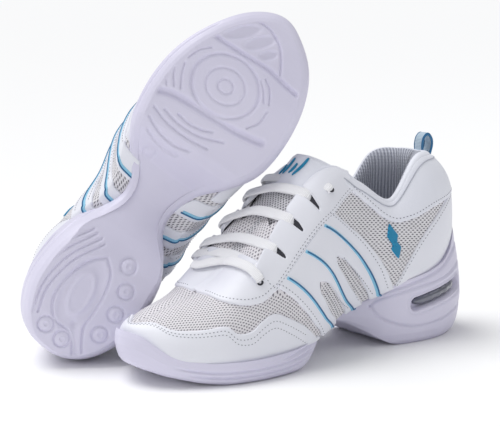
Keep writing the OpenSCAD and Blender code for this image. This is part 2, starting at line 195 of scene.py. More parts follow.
def weld(part, distance=0.05):
    """Joins points closer than a distance and drops the faces that collapse."""
    v = np.concatenate(part.v)
    uv = np.concatenate(part.uv)
    key = np.round(v / distance).astype(np.int64)
    _, first, back = np.unique(key, axis=0, return_index=True, return_inverse=True)
    back = back.reshape(-1)
    faces, mats = [], []
    for f, m in zip(part.f, part.m):
        g = []
        for i in f:
            j = int(back[i])
            if j not in g:
                g.append(j)
        if len(g) > 2:
            faces.append(g)
            mats.append(m)
    out = Part()
    out.v, out.uv, out.f, out.m, out.n = [v[first]], [uv[first]], faces, mats, len(first)
    return out


EDGE_RADIUS, EDGE_EXTRA = 0.9, 0.7


def skirt(part, thick, radius=None):
    """Rolls the open edges of an outward-facing sheet down by its thickness."""
    radius = radius or min(thick, EDGE_RADIUS)
    v = np.concatenate(part.v)
    uv = np.concatenate(part.uv)
    fn = np.zeros_like(v)
    owner = {}
    for k, f in enumerate(part.f):
        p = v[f]
        n = np.cross(p[2] - p[0], p[-1] - p[1])
        fn[f] += n
        for a, b in zip(f, f[1:] + f[:1]):
            owner[(a, b)] = k
    fn = unit(fn)
    edges = [(a, b) for (a, b) in owner if (b, a) not in owner]
    out = np.zeros_like(v)
    for a, b in edges:
        o = unit(np.cross(v[b] - v[a], fn[a] + fn[b]))
        out[a] += o
        out[b] += o
    rim = sorted({i for e in edges for i in e})
    where = {i: k for k, i in enumerate(rim)}
    o, n, base = unit(out[rim]), fn[rim], v[rim]
    rings = [base + o * radius * math.sin(a) - n * radius * (1 - math.cos(a))
             for a in (0.5, 1.05, math.pi / 2)]
    rings.append(rings[-1] - n * (thick - radius + EDGE_EXTRA))
    prev = {i: i for i in rim}
    for r in rings:
        start = part.n
        part.v.append(r)
        part.uv.append(uv[rim])
        part.n += len(r)
        now = {i: start + where[i] for i in rim}
        for a, b in edges:
            part.f.append([prev[b], prev[a], now[a], now[b]])
            part.m.append(part.m[owner[(a, b)]])
        prev = now
    return part


def merge(target, one):
    for v, uv in zip(one.v, one.uv):
        target.v.append(v)
        target.uv.append(uv)
    target.f += [[i + target.n for i in f] for f in one.f]
    target.m += one.m
    target.n += one.n


CORE_X, CORE_Z = (45, 200), 35


def fix_winding(one):
    """Makes the faces of a chart sheet point away from the shoe's middle."""
    v = np.concatenate(one.v)
    total = 0.0
    for f in one.f[:: max(1, len(one.f) // 200)]:
        p = v[f]
        c = p.mean(0)
        core = np.array([np.clip(c[0], *CORE_X), 0, CORE_Z])
        total += float(np.cross(p[2] - p[0], p[-1] - p[1]) @ (c - core))
    if total < 0:
        one.f = [f[::-1] for f in one.f]
    return one


def aim(part, k, way):
    """Turns every face over where face k looks against the given direction."""
    p = np.concatenate(part.v)[part.f[k]]
    if np.cross(p[2] - p[0], p[-1] - p[1]) @ np.asarray(way, float) < 0:
        part.f = [f[::-1] for f in part.f]
    return part


def between(low, high, rows, cols):
    """Grid of chart points from one curve to another."""
    p = np.linspace(0, 1, rows)
    a, b = curve(low, p), curve(high, p)
    return a[:, None] + (b - a)[:, None] * np.linspace(0, 1, cols)[None, :, None]


def on_side(grid, side, lift):
    """Chart points laid on one side of the shoe: 1 outer, -1 inner."""
    return skin(side * grid[..., 0], grid[..., 1], lift)


def sheet(pts, side=1, uv=None):
    """Rows of points on one side of the shoe as a part that faces outward."""
    faces = quads(*pts.shape[:2], flip=side < 0)
    return fix_winding(Part().add(pts, faces, weave_uv(pts) if uv is None else uv))


def panel(low, high, lift, thick, rows, cols):
    """Padded panel between two curves that run round the shoe."""
    return skirt(sheet(on_side(between(low, high, rows, cols), 1, lift + thick)), thick)


RIDGE_X = np.array([20, 114, 148, 158, 171, 184, 193, 200, 215, 230, 240, 250.0])
RIDGE_Z = np.array([120, 118, 93, 84, 71, 59, 53, 50, 46, 42.5, 38, 33.0])
RIDGE_Y = -3
WALL_TOP = 50.0


def weave_uv(p):
    """Pattern coordinates: along the shoe, and across it from the ridge."""
    zr = np.interp(p[..., 0], RIDGE_X, RIDGE_Z)
    drop = np.maximum(np.minimum(zr, WALL_TOP) - p[..., 2], 0)
    y = p[..., 1] - RIDGE_Y
    return np.stack([p[..., 0], np.sign(y) * (np.abs(y) + drop)], -1)


def run_length(path):
    return np.concatenate([[0], np.cumsum(np.linalg.norm(np.diff(path, axis=0), axis=1))])


def tube(path, half_w, half_h, up=None, around=12, taper=None):
    """Rounded flat profile swept along points; up gives the direction of its thin side."""
    path = np.asarray(path, float)
    n = len(path)
    tan = unit(np.gradient(path, axis=0))
    up = np.tile([0, 0, 1.0], (n, 1)) if up is None else np.asarray(up, float)
    side = unit(np.cross(tan, up))
    top = unit(np.cross(side, tan))
    a = np.linspace(0, 2 * np.pi, around, endpoint=False)
    ca, sa = np.cos(a), np.sin(a)
    sx = np.sign(ca) * np.abs(ca) ** .7
    sy = np.sign(sa) * np.abs(sa) ** .85
    k = (np.ones(n) if taper is None else np.asarray(taper, float))[:, None, None]
    pts = (path[:, None] + side[:, None] * (sx * half_w)[None, :, None] * k
           + top[:, None] * (sy * half_h)[None, :, None] * k)
    length = run_length(path)[:, None]
    uv = np.stack([np.repeat(length, around, 1), np.repeat((a / np.pi * half_w)[None], n, 0)], -1)
    i, j = np.meshgrid(np.arange(n - 1) * around, np.arange(around), indexing="ij")
    k = (j + 1) % around
    f = np.stack([i + j, i + around + j, i + around + k, i + k], -1).reshape(-1, 4).tolist()
    f += [list(range(around)), [(n - 1) * around + j for j in range(around)][::-1]]
    return pts.reshape(-1, 3), f, uv.reshape(-1, 2)


def chart_path(points, count, side, lift):
    """Points and outward directions along a chart curve."""
    g = curve(points, np.linspace(0, 1, count))
    return on_side(g, side, lift), normal(side * g[:, 0], g[:, 1])


THREAD_HALF, THREAD_RISE = 0.34, 0.22


def stitches(paths, pitch=2.6, length=1.5, lift=1.45, sides=(1, -1)):
    """Rows of short raised threads along chart curves."""
    part = Part()
    for points in paths:
        for side in sides:
            p, n = chart_path(points, 240, side, lift)
            run = run_length(p)
            for c in (np.arange(int(run[-1] / pitch)) + .5) * pitch:
                a, m, b = (along(c + o, run, p) for o in (-length / 2, 0, length / 2))
                up = unit(along(c, run, n))
                w = unit(np.cross(b - a, up)) * THREAD_HALF
                r = up * THREAD_RISE
                v = [a, m + w - r * .5, m - w - r * .5, m + r, b]
                part.add(v, [[0, 1, 3], [0, 3, 2], [4, 3, 1], [4, 2, 3]])
    return part


def along(at, run, rows):
    return np.array([np.interp(at, run, rows[:, k]) for k in range(3)])


def place(name, part, materials, body, replaced=()):
    """Makes the piece for both shoes and ties it to its body; arch and ball pieces only get their transform
    baked.
    """
    v = np.concatenate(part.v)
    uv = np.concatenate(part.uv)
    for side in ("left", "right"):
        faces = part.f if side == "left" else [f[::-1] for f in part.f]
        mesh = bpy.data.meshes.new(f"{side}_{name}_look")
        mesh.from_pydata(to_row(v, side).tolist(), [], faces)
        layer = mesh.uv_layers.new(name="UVMap")
        loops = np.zeros(len(mesh.loops), np.int32)
        mesh.loops.foreach_get("vertex_index", loops)
        layer.data.foreach_set("uv", uv[loops].astype(np.float32).ravel())
        for m in materials:
            mesh.materials.append(m)
        mesh.polygons.foreach_set("material_index", np.array(part.m, np.int32))
        mesh.polygons.foreach_set("use_smooth", np.ones(len(mesh.polygons), bool))
        mesh.update()
        obj = bpy.data.objects.new(f"{side}_{name}_look", mesh)
        bpy.context.scene.collection.objects.link(obj)
        attach(obj, side, body)
        if replaced:
            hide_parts(*[f"{side}_{r}" for r in replaced])


def attach(obj, side, body):
    if body == "arch":
        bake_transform(obj)
    elif body == "ball":
        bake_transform(obj)
    else:
        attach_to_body(obj, f"{side}_{body}")


# ---- materials ---------------------------------------------------------------------------------
class Nodes:
    """Small helper that writes shader nodes."""

    def __init__(self, name):
        self.mat = bpy.data.materials.new(name)
        self.mat.use_nodes = True
        self.tree = self.mat.node_tree
        self.bsdf = self.tree.nodes["Principled BSDF"]
        self.count = 0

    def node(self, kind, **values):
        n = self.tree.nodes.new(kind)
        n.location = (-300 - 180 * (self.count % 6), -220 * (self.count // 6))
        self.count += 1
        for k, v in values.items():
            setattr(n, k, v)
        return n

    def put(self, socket, value):
        if isinstance(value, bpy.types.NodeSocket):
            self.tree.links.new(value, socket)
        else:
            socket.default_value = value

    def math(self, op, a, b=0.0, c=0.0, clamp=False):
        n = self.node("ShaderNodeMath", operation=op, use_clamp=clamp)
        for s, v in zip(n.inputs, (a, b, c)):
            self.put(s, v)
        return n.outputs[0]

    def mix(self, factor, a, b):
        n = self.node("ShaderNodeMix", data_type="RGBA")
        self.put(n.inputs[0], factor)
        self.put(n.inputs[6], a)
        self.put(n.inputs[7], b)
        return n.outputs[2]

    def noise(self, scale, detail=2.0):
        n = self.node("ShaderNodeTexNoise")
        n.inputs["Scale"].default_value = scale
        n.inputs["Detail"].default_value = detail
        self.put(n.inputs["Vector"], self.coords("Object"))
        return n.outputs["Fac"]

    def coords(self, kind):
        return self.node("ShaderNodeTexCoord").outputs[kind]

    def uv(self):
        n = self.node("ShaderNodeSeparateXYZ")
        self.put(n.inputs[0], self.coords("UV"))
        return n.outputs[0], n.outputs[1]

    def bump(self, height, distance):
        n = self.node("ShaderNodeBump")
        n.inputs["Strength"].default_value = 1.0
        n.inputs["Distance"].default_value = distance
        self.put(n.inputs["Height"], height)
        self.put(self.bsdf.inputs["Normal"], n.outputs[0])

    def finish(self, color, rough, sheen=0.0, specular=0.5):
        self.put(self.bsdf.inputs["Base Color"], color)
        self.put(self.bsdf.inputs["Roughness"], rough)
        self.bsdf.inputs["Sheen Weight"].default_value = sheen
        self.bsdf.inputs["Specular IOR Level"].default_value = specular
        return self.mat


def rgb(r, g, b):
    """Linear colour from 0-255 screen values."""
    screen = [c / 255 for c in (r, g, b)]
    return (*[c / 12.92 if c <= 0.04045 else ((c + 0.055) / 1.055) ** 2.4 for c in screen], 1.0)


def grained(name, light, dark, rough, grain_scale, grain_height, sheen=0.0, specular=0.5):
    """Leather, rubber or plain cloth: broad colour drift, fine grain bump, roughness drift."""
    n = Nodes(name)
    drift = n.noise(18.0, 3.0)
    fine = n.noise(grain_scale, 4.0)
    color = n.mix(n.math("MULTIPLY_ADD", drift, 1.6, -0.3, True), rgb(*dark), rgb(*light))
    cell = n.node("ShaderNodeTexVoronoi")
    cell.inputs["Scale"].default_value = grain_scale * 0.8
    n.put(cell.inputs["Vector"], n.coords("Object"))
    pores = n.math("MULTIPLY", cell.outputs["Distance"], 0.6)
    height = n.math("ADD", pores, n.math("MULTIPLY", fine, 0.5))
    n.bump(height, grain_height)
    roughness = n.math("MULTIPLY_ADD", fine, 0.16, rough - 0.08)
    return n.finish(color, roughness, sheen, specular)


def holes(n, u, v, pitch_u, pitch_v, size_u, size_v):
    """0 in the holes of a staggered grid and 1 between them."""
    def offset(cells, shift, stretch):
        cell = n.math("FRACT", n.math("ADD", cells, shift))
        return n.math("MULTIPLY", n.math("SUBTRACT", cell, 0.5), stretch)

    a = n.math("DIVIDE", u, pitch_u)
    b = n.math("DIVIDE", v, pitch_v)
    best = None
    for shift in (0.0, 0.5):
        du = offset(a, shift, pitch_u / size_u)
        dv = offset(b, shift, pitch_v / size_v)
        d = n.math("SQRT", n.math("ADD", n.math("MULTIPLY", du, du), n.math("MULTIPLY", dv, dv)))
        best = d if best is None else n.math("MINIMUM", best, d)
    ramp = n.node("ShaderNodeMapRange", interpolation_type="SMOOTHSTEP")
    n.put(ramp.inputs[0], best)
    ramp.inputs[1].default_value = 0.55
    ramp.inputs[2].default_value = 1.15
    return ramp.outputs[0]


def knit(name, light, dark, pitch_u, pitch_v, size_u, size_v):
    """Open mesh cloth with rows of small holes; the holes take the dark colour as painted shade seen through
    them.
    """
    n = Nodes(name)
    u, v = n.uv()
    wob = n.math("MULTIPLY_ADD", n.noise(240.0, 1.0), 0.5, -0.25)
    u, v = n.math("ADD", u, wob), n.math("ADD", v, wob)
    solid = holes(n, u, v, pitch_u, pitch_v, size_u, size_v)
    fiber = n.noise(1500.0, 2.0)
    drift = n.math("MULTIPLY_ADD", n.noise(25.0), 1.4, -0.2, True)
    tone = n.mix(drift, rgb(*[c - 12 for c in light]), rgb(*light))
    # painted shade: the holes get the dark colour of the shaded inside behind the mesh
    color = n.mix(solid, rgb(*dark), tone)
    n.bump(n.math("ADD", solid, n.math("MULTIPLY", fiber, 0.25)), 0.0006)
    return n.finish(color, 0.85, 0.3, 0.25)


def ribbed(name, light, dark, pitch, depth):
    """Cloth with fine ribs; the troughs between ribs take the dark colour as painted shade."""
    n = Nodes(name)
    u, v = n.uv()
    waves = []
    for way, step in ((u, pitch), (v, pitch * .8)):
        w = n.math("SINE", n.math("MULTIPLY", way, 2 * math.pi / step))
        waves.append(n.math("MULTIPLY_ADD", w, 0.5, 0.5))
    # painted shade: the dark colour fills the rib troughs, where shade falls between the ribs
    color = n.mix(n.math("POWER", waves[0], 0.7), rgb(*dark), rgb(*light))
    height = n.math("ADD", waves[0], n.math("MULTIPLY", waves[1], 0.25))
    height = n.math("ADD", height, n.math("MULTIPLY", n.noise(1400.0), 0.3))
    n.bump(height, depth)
    return n.finish(color, 0.85, 0.3, 0.25)


SOLE = grained("sole_rubber", (223, 220, 238), (213, 210, 230), 0.42, 900.0, 0.00003, 0.0, 0.45)
LEATHER = grained("white_leather", (238, 239, 246), (230, 231, 240), 0.45, 1300.0, 0.00007)
PADDED = grained("padded_leather", (238, 239, 247), (230, 232, 242), 0.5, 1100.0, 0.00008, 0.1)
THREAD = grained("stitch_thread", (150, 152, 162), (112, 114, 126), 0.8, 2500.0, 0.00004)
# painted shade: grey for the collar seam line, standing for the shade in its crease
SEAM_SHADE = grained("seam_crease_shade", (188, 190, 200), (170, 172, 184), 0.7, 1500.0, 0.00004)
BLUE = grained("blue_piping", (30, 108, 156), (24, 94, 140), 0.35, 1500.0, 0.00003)
PALE_BLUE = grained("pale_blue_edge", (150, 208, 234), (136, 198, 228), 0.5, 1500.0, 0.00003)
EMBROIDERY = ribbed("blue_embroidery", (40, 156, 200), (22, 112, 156), 0.7, 0.00015)
VAMP_MESH = knit("vamp_mesh", (240, 237, 241), (140, 136, 146), 3.1, 2.5, 0.62, 0.55)
TONGUE_MESH = knit("tongue_mesh", (234, 233, 238), (108, 106, 116), 3.2, 2.7, 0.68, 0.62)
QUARTER_MESH = knit("quarter_mesh", (238, 236, 240), (118, 116, 126), 3.4, 2.7, 0.95, 0.42)
LINING = ribbed("ribbed_lining", (206, 209, 220), (150, 153, 168), 2.6, 0.0006)
LACE = ribbed("flat_lace", (252, 252, 254), (242, 242, 247), 0.9, 0.00018)
WEBBING = ribbed("loop_webbing", (205, 220, 232), (158, 184, 204), 0.9, 0.0002)
INSOLE = grained("insole_cloth", (150, 153, 165), (128, 131, 145), 0.9, 1500.0, 0.0001, 0.2)
# painted shade: flat dark colour for gaps and holes where only shade falls
SHADOW = grained("painted_shade_recess", (66, 66, 74), (48, 48, 56), 0.8, 900.0, 0.00004)


def clear_cushion():
    n = Nodes("air_cushion")
    shade = n.noise(60.0, 2.0)
    # painted shade: the clear cushion is coloured dark grey for its shaded inside; the noise only varies
    # that tone
    color = n.mix(shade, rgb(62, 64, 74), rgb(128, 130, 144))
    n.bump(n.noise(120.0, 1.0), 0.0004)
    mat = n.finish(color, 0.14, 0.0, 0.8)
    n.bsdf.inputs["Metallic"].default_value = 0.35
    n.bsdf.inputs["Coat Weight"].default_value = 0.8
    return mat


CUSHION = clear_cushion()

# ---- moulded sole ------------------------------------------------------------------------------
PLAN = [(-6, 0), (-3, 16), (8, 29), (28, 37.5), (52, 38), (72, 33), (88, 23), (102, 17), (115, 19),
        (129, 30), (146, 41), (168, 45.5), (192, 44.5), (214, 37.5), (236, 24), (250, 8), (254, -7),
        (247, -22), (232, -36.5), (211, -45.5), (186, -49), (162, -46.5), (144, -36), (128, -23),
        (110, -17), (97, -19.5), (84, -29), (68, -37), (46, -39), (22, -36), (5, -26), (-4, -13)]
GROUND = [(-6, 2.5), (2, 1), (14, 0), (62, 0), (70, 1.5), (77, 5), (87, 11.5), (98, 17.5), (107, 19.5),
          (116, 19), (127, 16.5), (136, 8), (142, 3), (150, 0), (206, 0), (222, 2.2), (240, 6.5),
          (250, 10), (256, 12.5)]
RIM = [(-6, 70), (0, 71), (8, 68), (17, 60), (27, 53.5), (43, 48.3), (62, 44.3), (80, 38.5),
       (94, 31.5), (106, 26), (120, 21.5), (136, 18.5), (155, 16), (187, 14.5), (214, 15), (228, 17),
       (236, 20), (243, 26), (249, 32), (256, 34.5)]


def profile(rows, at):
    return np.interp(at, *np.array(rows, float).T)


def level(rows, x):
    """Height along the shoe: halfway between straight steps and a smooth curve."""
    u = profile([(x_row, k / (len(rows) - 1)) for k, (x_row, _) in enumerate(rows)], x)
    return 0.5 * profile(rows, x) + 0.5 * curve(np.array(rows, float)[:, 1:], u)[..., 0]


LOOP = ring(np.array(PLAN, float), np.arange(0, 32, 0.05))
HEEL_X, TIP_X = LOOP[:, 0].min(), LOOP[:, 0].max()


def plan_at(x, sign):
    """Y of the sole's outline at each x: outer side for 1, inner side for -1."""
    outer = np.roll(LOOP, -int(np.argmin(LOOP[:, 0])), 0)
    tip = int(np.argmax(outer[:, 0]))
    run = outer[:tip + 1] if sign > 0 else np.concatenate([outer[:1], outer[tip:][::-1]])
    return np.interp(x, np.maximum.accumulate(run[:, 0]), run[:, 1])


def groove(px, py, line, width, depth, count=40):
    """Depth of a rounded groove along a smooth line."""
    pts = curve(line, np.linspace(0, 1, count))
    a, b = pts[:-1], pts[1:]
    d = b - a
    best = np.full(px.shape, 1e9)
    for (ax, ay), (dx, dy) in zip(a, d):
        k = np.clip(((px - ax) * dx + (py - ay) * dy) / (dx * dx + dy * dy + 1e-9), 0, 1)
        best = np.minimum(best, np.hypot(px - ax - k * dx, py - ay - k * dy))
    return depth * np.exp(-(best / width) ** 2 * 1.6)


def dome(px, py, cx, cy, a, b, turn, depth, sharp=6):
    """Rounded step of an ellipse: depth inside, 0 outside."""
    c, s = math.cos(turn), math.sin(turn)
    u, v = ((px - cx) * c + (py - cy) * s) / a, (-(px - cx) * s + (py - cy) * c) / b
    return depth / (1 + np.exp((np.hypot(u, v) - 1) * sharp * min(a, b)))


# Moulded lines of the underside: width and depth, then lines of plan points that share them
TREAD_LINES = (
    # main cross grooves
    (2.0, 2.6, ([(217.5, 42), (217, 22), (218, 4), (219, -11), (217, -27), (216, -42)],)),
    (2.6, 3.0, ([(165, 45), (171.3, 32.3), (173.4, 18.2), (174.2, .3), (175.5, -15.6), (177.6, -28),
                 (179, -34)],)),
    # toe arc
    (1.1, 1.5, ([(218.5, 33), (228, 28), (237, 18.7), (240.5, 9.4), (240, 0), (235.5, -9),
                 (228.3, -15), (219.5, -20)],)),
    # short arcs beside the turning ring
    (.8, 1.2, ([(183.5, 41), (179, 39), (174.8, 35.6)], [(186.8, 37.6), (182, 35.5), (176.8, 31.3)],
               [(192.2, 34.1), (185, 31.5), (177.8, 27.1)], [(196.6, 34.1), (203.8, 31.3), (209.9, 25.8)],
               [(213.2, -13.2), (209.1, -19.1), (201.6, -23.8)], [(211, -11), (206.5, -16), (200.5, -20.5)],
               [(196.8, -25.6), (188.6, -25.3), (181.5, -21)])),
    # long lines behind the rear groove
    (.95, 1.4, ([(159.3, 34.2), (155.8, 22.7), (154.8, 7.4), (156.6, -7.9)],
                [(161.6, 27.6), (159.3, 16.3), (160, 1.2), (165.6, -14)],
                [(164.1, 19.1), (162.9, 11), (164.2, 2.2), (167, -4.7)],
                [(152.5, 33), (148.3, 22.4), (146.8, 10.6), (149.1, .1)],
                [(145.2, 28.9), (142.2, 20.1), (141.2, 11.7), (142, 4.5)])),
    # heel: outline of the drop, its channel to the back, four curved lines
    (1.1, 1.4, ([(65.6, 3.7), (58.6, 10.8), (45.8, 16.5), (32.1, 18), (22.4, 15), (15.5, 7.6),
                 (14.5, -2.6), (10.6, -8), (1.5, -14)],
                [(65.6, 3.7), (58.4, -3.9), (45.3, -8), (31.1, -9), (22.2, -9), (14.7, -12.5), (5, -18.8)])),
    (2.6, 1.2, ([(20, -3), (13, -8), (6, -14), (-1, -19)],)),
    (.85, 1.3, ([(14.2, 30.1), (33.4, 35.1), (56, 32.4), (75.4, 20.4)],
                [(15.6, 27.2), (34.4, 31.8), (55.1, 28.3), (74.4, 17)],
                [(12.1, 22.9), (31.9, 27.6), (54.3, 24.1), (73.5, 12.9)],
                [(14.1, 20), (30.7, 24), (53, 20.3), (71.3, 9.5)])))
TOE_PADS = ((229, 15.5, 12.0, 4.2, -46), (230, 2.2, 10.2, 3.8, -41), (226.6, -6.4, 6.0, 2.9, -45))
HEEL_BOSSES = ((68.4, -10.5), (54.7, -18), (39.3, -21), (23.4, -20), (8, -2.0), (10.5, 11.5))
RING_AT, RING_HALF = (195, 5), (19.0, 22.5)
DROP_AT, DROP_TURN = (38.5, 4.5), math.radians(8)


def tread(x, y):
    """How far the underside is cut upward at plan points."""
    d = np.zeros_like(x)
    for width, depth, lines in TREAD_LINES:
        for line in lines:
            d = np.maximum(d, groove(x, y, line, width, depth))
    for cx, cy, a, b, turn in TOE_PADS:
        d += dome(x, y, cx, cy, a, b, math.radians(turn), 1.8, 3.0)
    # turning ring with two plain rings inside
    r = np.hypot((x - RING_AT[0]) / RING_HALF[0], (y - RING_AT[1]) / RING_HALF[1]) * 20
    d += 0.5 / (1 + np.exp((r - 19.6) * 3))
    for radius, width, depth in ((20, 1.0, 1.6), (11.5, 0.8, 1.1), (4.5, 0.8, 1.1)):
        d += depth * np.exp(-((r - radius) / width) ** 2)
    for cx, cy in ((204.7, 38.3), (198.2, 40.1), (192.3, 40.6)):
        d -= 0.7 * np.exp(-(((x - cx) ** 2 + (y - cy) ** 2) / 1.6))
    # heel drop: sunk floor with a raised oval
    d += dome(x, y, *DROP_AT, 24, 12, DROP_TURN, 1.5, 1.5)
    d -= dome(x, y, *DROP_AT, 15, 7.6, DROP_TURN, 1.6, 2.2)
    d += dome(x, y, *DROP_AT, 12.2, 5.2, DROP_TURN, 0.9, 3.0)
    for cx, cy in HEEL_BOSSES:
        r = np.hypot(x - cx, y - cy)
        d += 1.2 * np.exp(-((r - 5.0) / 0.8) ** 2)
        d -= 0.5 * np.exp(-((r - 1.9) / 0.7) ** 2)
    return d + 0.9 * np.exp(-((np.hypot(x - 134.5, y - 19) - 3.6) / 0.8) ** 2)


HEEL_GROOVES = (
    ([(96, 29), (80, 36), (62, 40.5), (45, 44.5), (30, 49), (16, 56), (2, 62), (-8, 64)], 1.1, 1.5),
    ([(84, 28.5), (80, 32.5), (68, 36), (52, 39), (36, 41), (22, 44), (8, 48), (-8, 52)], 1.0, 1.3),
    ([(84, 28.5), (80, 22), (70, 16.5), (57, 13), (44, 12.8), (30, 14.5), (16, 17.5), (0, 21), (-8, 22)],
     1.0, 1.4))
FORE_GROOVES = ((0.60, 140, 232), (0.36, 150, 226), (0.80, 140, 166))
SLOT_AT, SLOT_WAY, SLOT_HALF = (32, 31.6), (.983, -.183), 22


def up_to(x, at, width):
    """1 before a place and 0 past it, with a soft step."""
    return 1 / (1 + np.exp((x - at) / width))


def past(x, at, width):
    return 1 / (1 + np.exp(-(x - at) / width))


def side_lines(x, z, bottom, top):
    """Depth of the moulded lines on the side walls, in side view."""
    heel, fore = up_to(x, 92, 3), past(x, 140, 3)
    d = np.zeros_like(x)
    for line, width, depth in HEEL_GROOVES:
        d += heel * groove(x, z, line, width, depth, 60)
    dx, dz = x - SLOT_AT[0], z - SLOT_AT[1]
    beyond = np.maximum(np.abs(dx * SLOT_WAY[0] + dz * SLOT_WAY[1]) - SLOT_HALF, 0)
    slot = np.hypot(beyond, dz * SLOT_WAY[0] - dx * SLOT_WAY[1])
    d += heel * 0.9 * np.exp(-((slot - 6.6) / 1.0) ** 2)
    d += heel * 7.0 / (1 + np.exp((slot - 4.2) * 3.5))
    h = (z - bottom) / np.maximum(top - bottom, 1)
    rise = 0.10 * np.exp(-((x - 146) / 14) ** 2)
    for at, low, high in FORE_GROOVES:
        on = past(x, low, 2) * up_to(x, high, 2)
        d += fore * on * 1.3 * np.exp(-((h - at - rise) / 0.06) ** 2)
    return d


# How far the wall stands inside the plan: at the heel by height, elsewhere by share of the height
HEEL_WALL = [(0, 7.5), (3, 4.6), (8, 2.4), (15, 1.0), (26, 0.0), (36, 0.4), (48, 1.6), (60, 3.6), (73, 6.0)]
FORE_WALL = [(0, 6.5), (.08, 4.2), (.2, 2.2), (.4, .8), (.6, 0), (.85, 0.3), (1, 1.4)]
WAIST_WALL = [(0, 5.0), (.15, 2.2), (.4, .6), (.7, 0), (1, .8)]


def wall_inset(x, z, h):
    """Rounded foot, bulge and drawn-in rim of the wall."""
    heel, fore = up_to(x, 84, 5), past(x, 140, 4)
    waist = np.clip(1 - heel - fore, 0, 1)
    return heel * profile(HEEL_WALL, z) + fore * profile(FORE_WALL, h) + waist * profile(WAIST_WALL, h)


LIP_FLAT = 4.0
BED = [(-10, 44), (20, 40), (55, 35), (85, 30), (107, 27), (125, 21), (145, 14), (170, 10.5), (200, 10.5),
       (225, 14), (245, 20), (262, 27)]
END_TURN, MIDDLE_X = 0.05, 120


def side_wall(x0, th, h, s):
    """Side wall of the sole, one row of points up it for each place along the shoe."""
    y = plan_at(x0, s)
    tan = unit(np.gradient(np.stack([x0, y], -1), axis=0))
    nrm = np.stack([-tan[:, 1], tan[:, 0]], -1) * s
    end = (np.exp(-((th / END_TURN) ** 2)) + np.exp(-(((np.pi - th) / END_TURN) ** 2)))[:, None]
    nrm = unit(nrm * (1 - end) + np.stack([np.sign(x0 - MIDDLE_X), 0 * x0], -1) * end)
    low, high = (level(rows, x0)[:, None] for rows in (GROUND, RIM))
    Z = low + (high - low) * h
    X = np.repeat(x0[:, None], len(h), 1)
    dent = side_lines(X, Z, low, high) * np.clip(np.minimum(h, 1 - h) / 0.03, 0, 1)
    inset = wall_inset(X, Z, h) + dent * (1 - end * 0.3)
    inset = np.minimum(inset, np.abs(y)[:, None] + 12)
    return np.stack([X - nrm[:, :1] * inset, y[:, None] - nrm[:, 1:] * inset, Z], -1)


def sole_grid(count=480, wall=80, under=150, over=26):
    """Closed rings of points round the sole: wall, underside, wall and foot bed."""
    th = np.linspace(0, np.pi, count)
    x0 = (HEEL_X + TIP_X) / 2 - (TIP_X - HEEL_X) / 2 * np.cos(th)
    lat, med = (side_wall(x0, th, np.linspace(0, 1, wall), s) for s in (1, -1))


    q = np.linspace(0, 1, under)[1:-1]
    low = lat[:, :1] + (med[:, :1] - lat[:, :1]) * q[None, :, None]
    span = np.abs(lat[:, 0, 1] - med[:, 0, 1])[:, None]
    edge = np.clip(np.minimum(q, 1 - q) * span / 2.5, 0, 1)
    arch = 1.6 * np.exp(-((low[..., 0] - WAIST_X) / 20) ** 2) * (np.abs(q - .5) * 2) ** 2
    low[..., 2] += tread(low[..., 0], low[..., 1]) * edge + arch
    w = (1 - np.cos(np.pi * np.linspace(0, 1, over)))[1:-1] / 2
    lip_lat, lip_med = lat[:, -1].copy(), med[:, -1].copy()
    high = lip_med[:, None] + (lip_lat - lip_med)[:, None] * w[None, :, None]
    from_edge = np.minimum(w, 1 - w) * np.abs(lip_lat[:, 1] - lip_med[:, 1])[:, None]
    sink = np.clip((from_edge - LIP_FLAT) / 9, 0, 1)
    bed = np.minimum(level(BED, high[..., 0]), high[..., 2])
    high[..., 2] = high[..., 2] * (1 - sink) + bed * sink - 0.6
    return np.concatenate([lat[:, ::-1], low, med, high], 1), x0


SOLE_CUT_X = 163


def build_sole():
    grid, x0 = sole_grid()
    cols = grid.shape[1]
    cut = int(np.argmin(np.abs(x0 - SOLE_CUT_X)))
    for name, g, end, body, gone in (
            ("sole_rear", grid[:cut + 1], -1, "arch", ("heel_sole", "forefoot_sole")),
            ("sole_front", grid[cut:], 0, "ball", ("toe_sole",))):
        i, j = np.meshgrid(np.arange(len(g) - 1) * cols, np.arange(cols), indexing="ij")
        k = (j + 1) % cols
        f = np.stack([i + j, i + k, i + cols + k, i + cols + j], -1).reshape(-1, 4)
        part = weld(Part().add(g, f.tolist(), g[..., :2]), 0.01)
        ids = list(range(cols))
        part.add(g[end], [ids[::-1] if end else ids])
        place(name, part, [SOLE], body, gone)


build_sole()


# ---- mesh cloth of the upper -------------------------------------------------------------------
def chart_sheet(s0, s1, t0, t1, rows, cols, sides=(1, -1), uv_fn=weave_uv, lift=0.0):
    """Plain sheet on a block of the chart; the weave runs on where it tucks under."""
    part = Part()
    for side in sides:
        S, T = np.meshgrid(side * np.linspace(s0, s1, rows), np.linspace(t0, t1, cols), indexing="ij")
        pts = skin(S, T, lift)
        uv = uv_fn(pts)
        fold = int(np.argmax(T[0] >= 0))
        if fold:
            step = np.linalg.norm(np.diff(pts[:, :fold + 1], axis=1), axis=-1)
            run = np.concatenate([np.cumsum(step[:, ::-1], 1)[:, ::-1], 0 * step[:, :1]], 1)
            way = np.sign(uv[:, fold + 1:fold + 2, 1] - uv[:, fold:fold + 1, 1])
            uv[:, :fold + 1, 0] = uv[:, fold:fold + 1, 0]
            uv[:, :fold + 1, 1] = uv[:, fold:fold + 1, 1] - way * run
        merge(part, sheet(pts, side, uv))
    return part


def quarter_uv(p):
    """Rows of the coarse side mesh: along the shoe, and up its wall."""
    return np.stack([p[..., 0] + 0.25 * p[..., 2], p[..., 2] - 0.12 * p[..., 0]], -1)


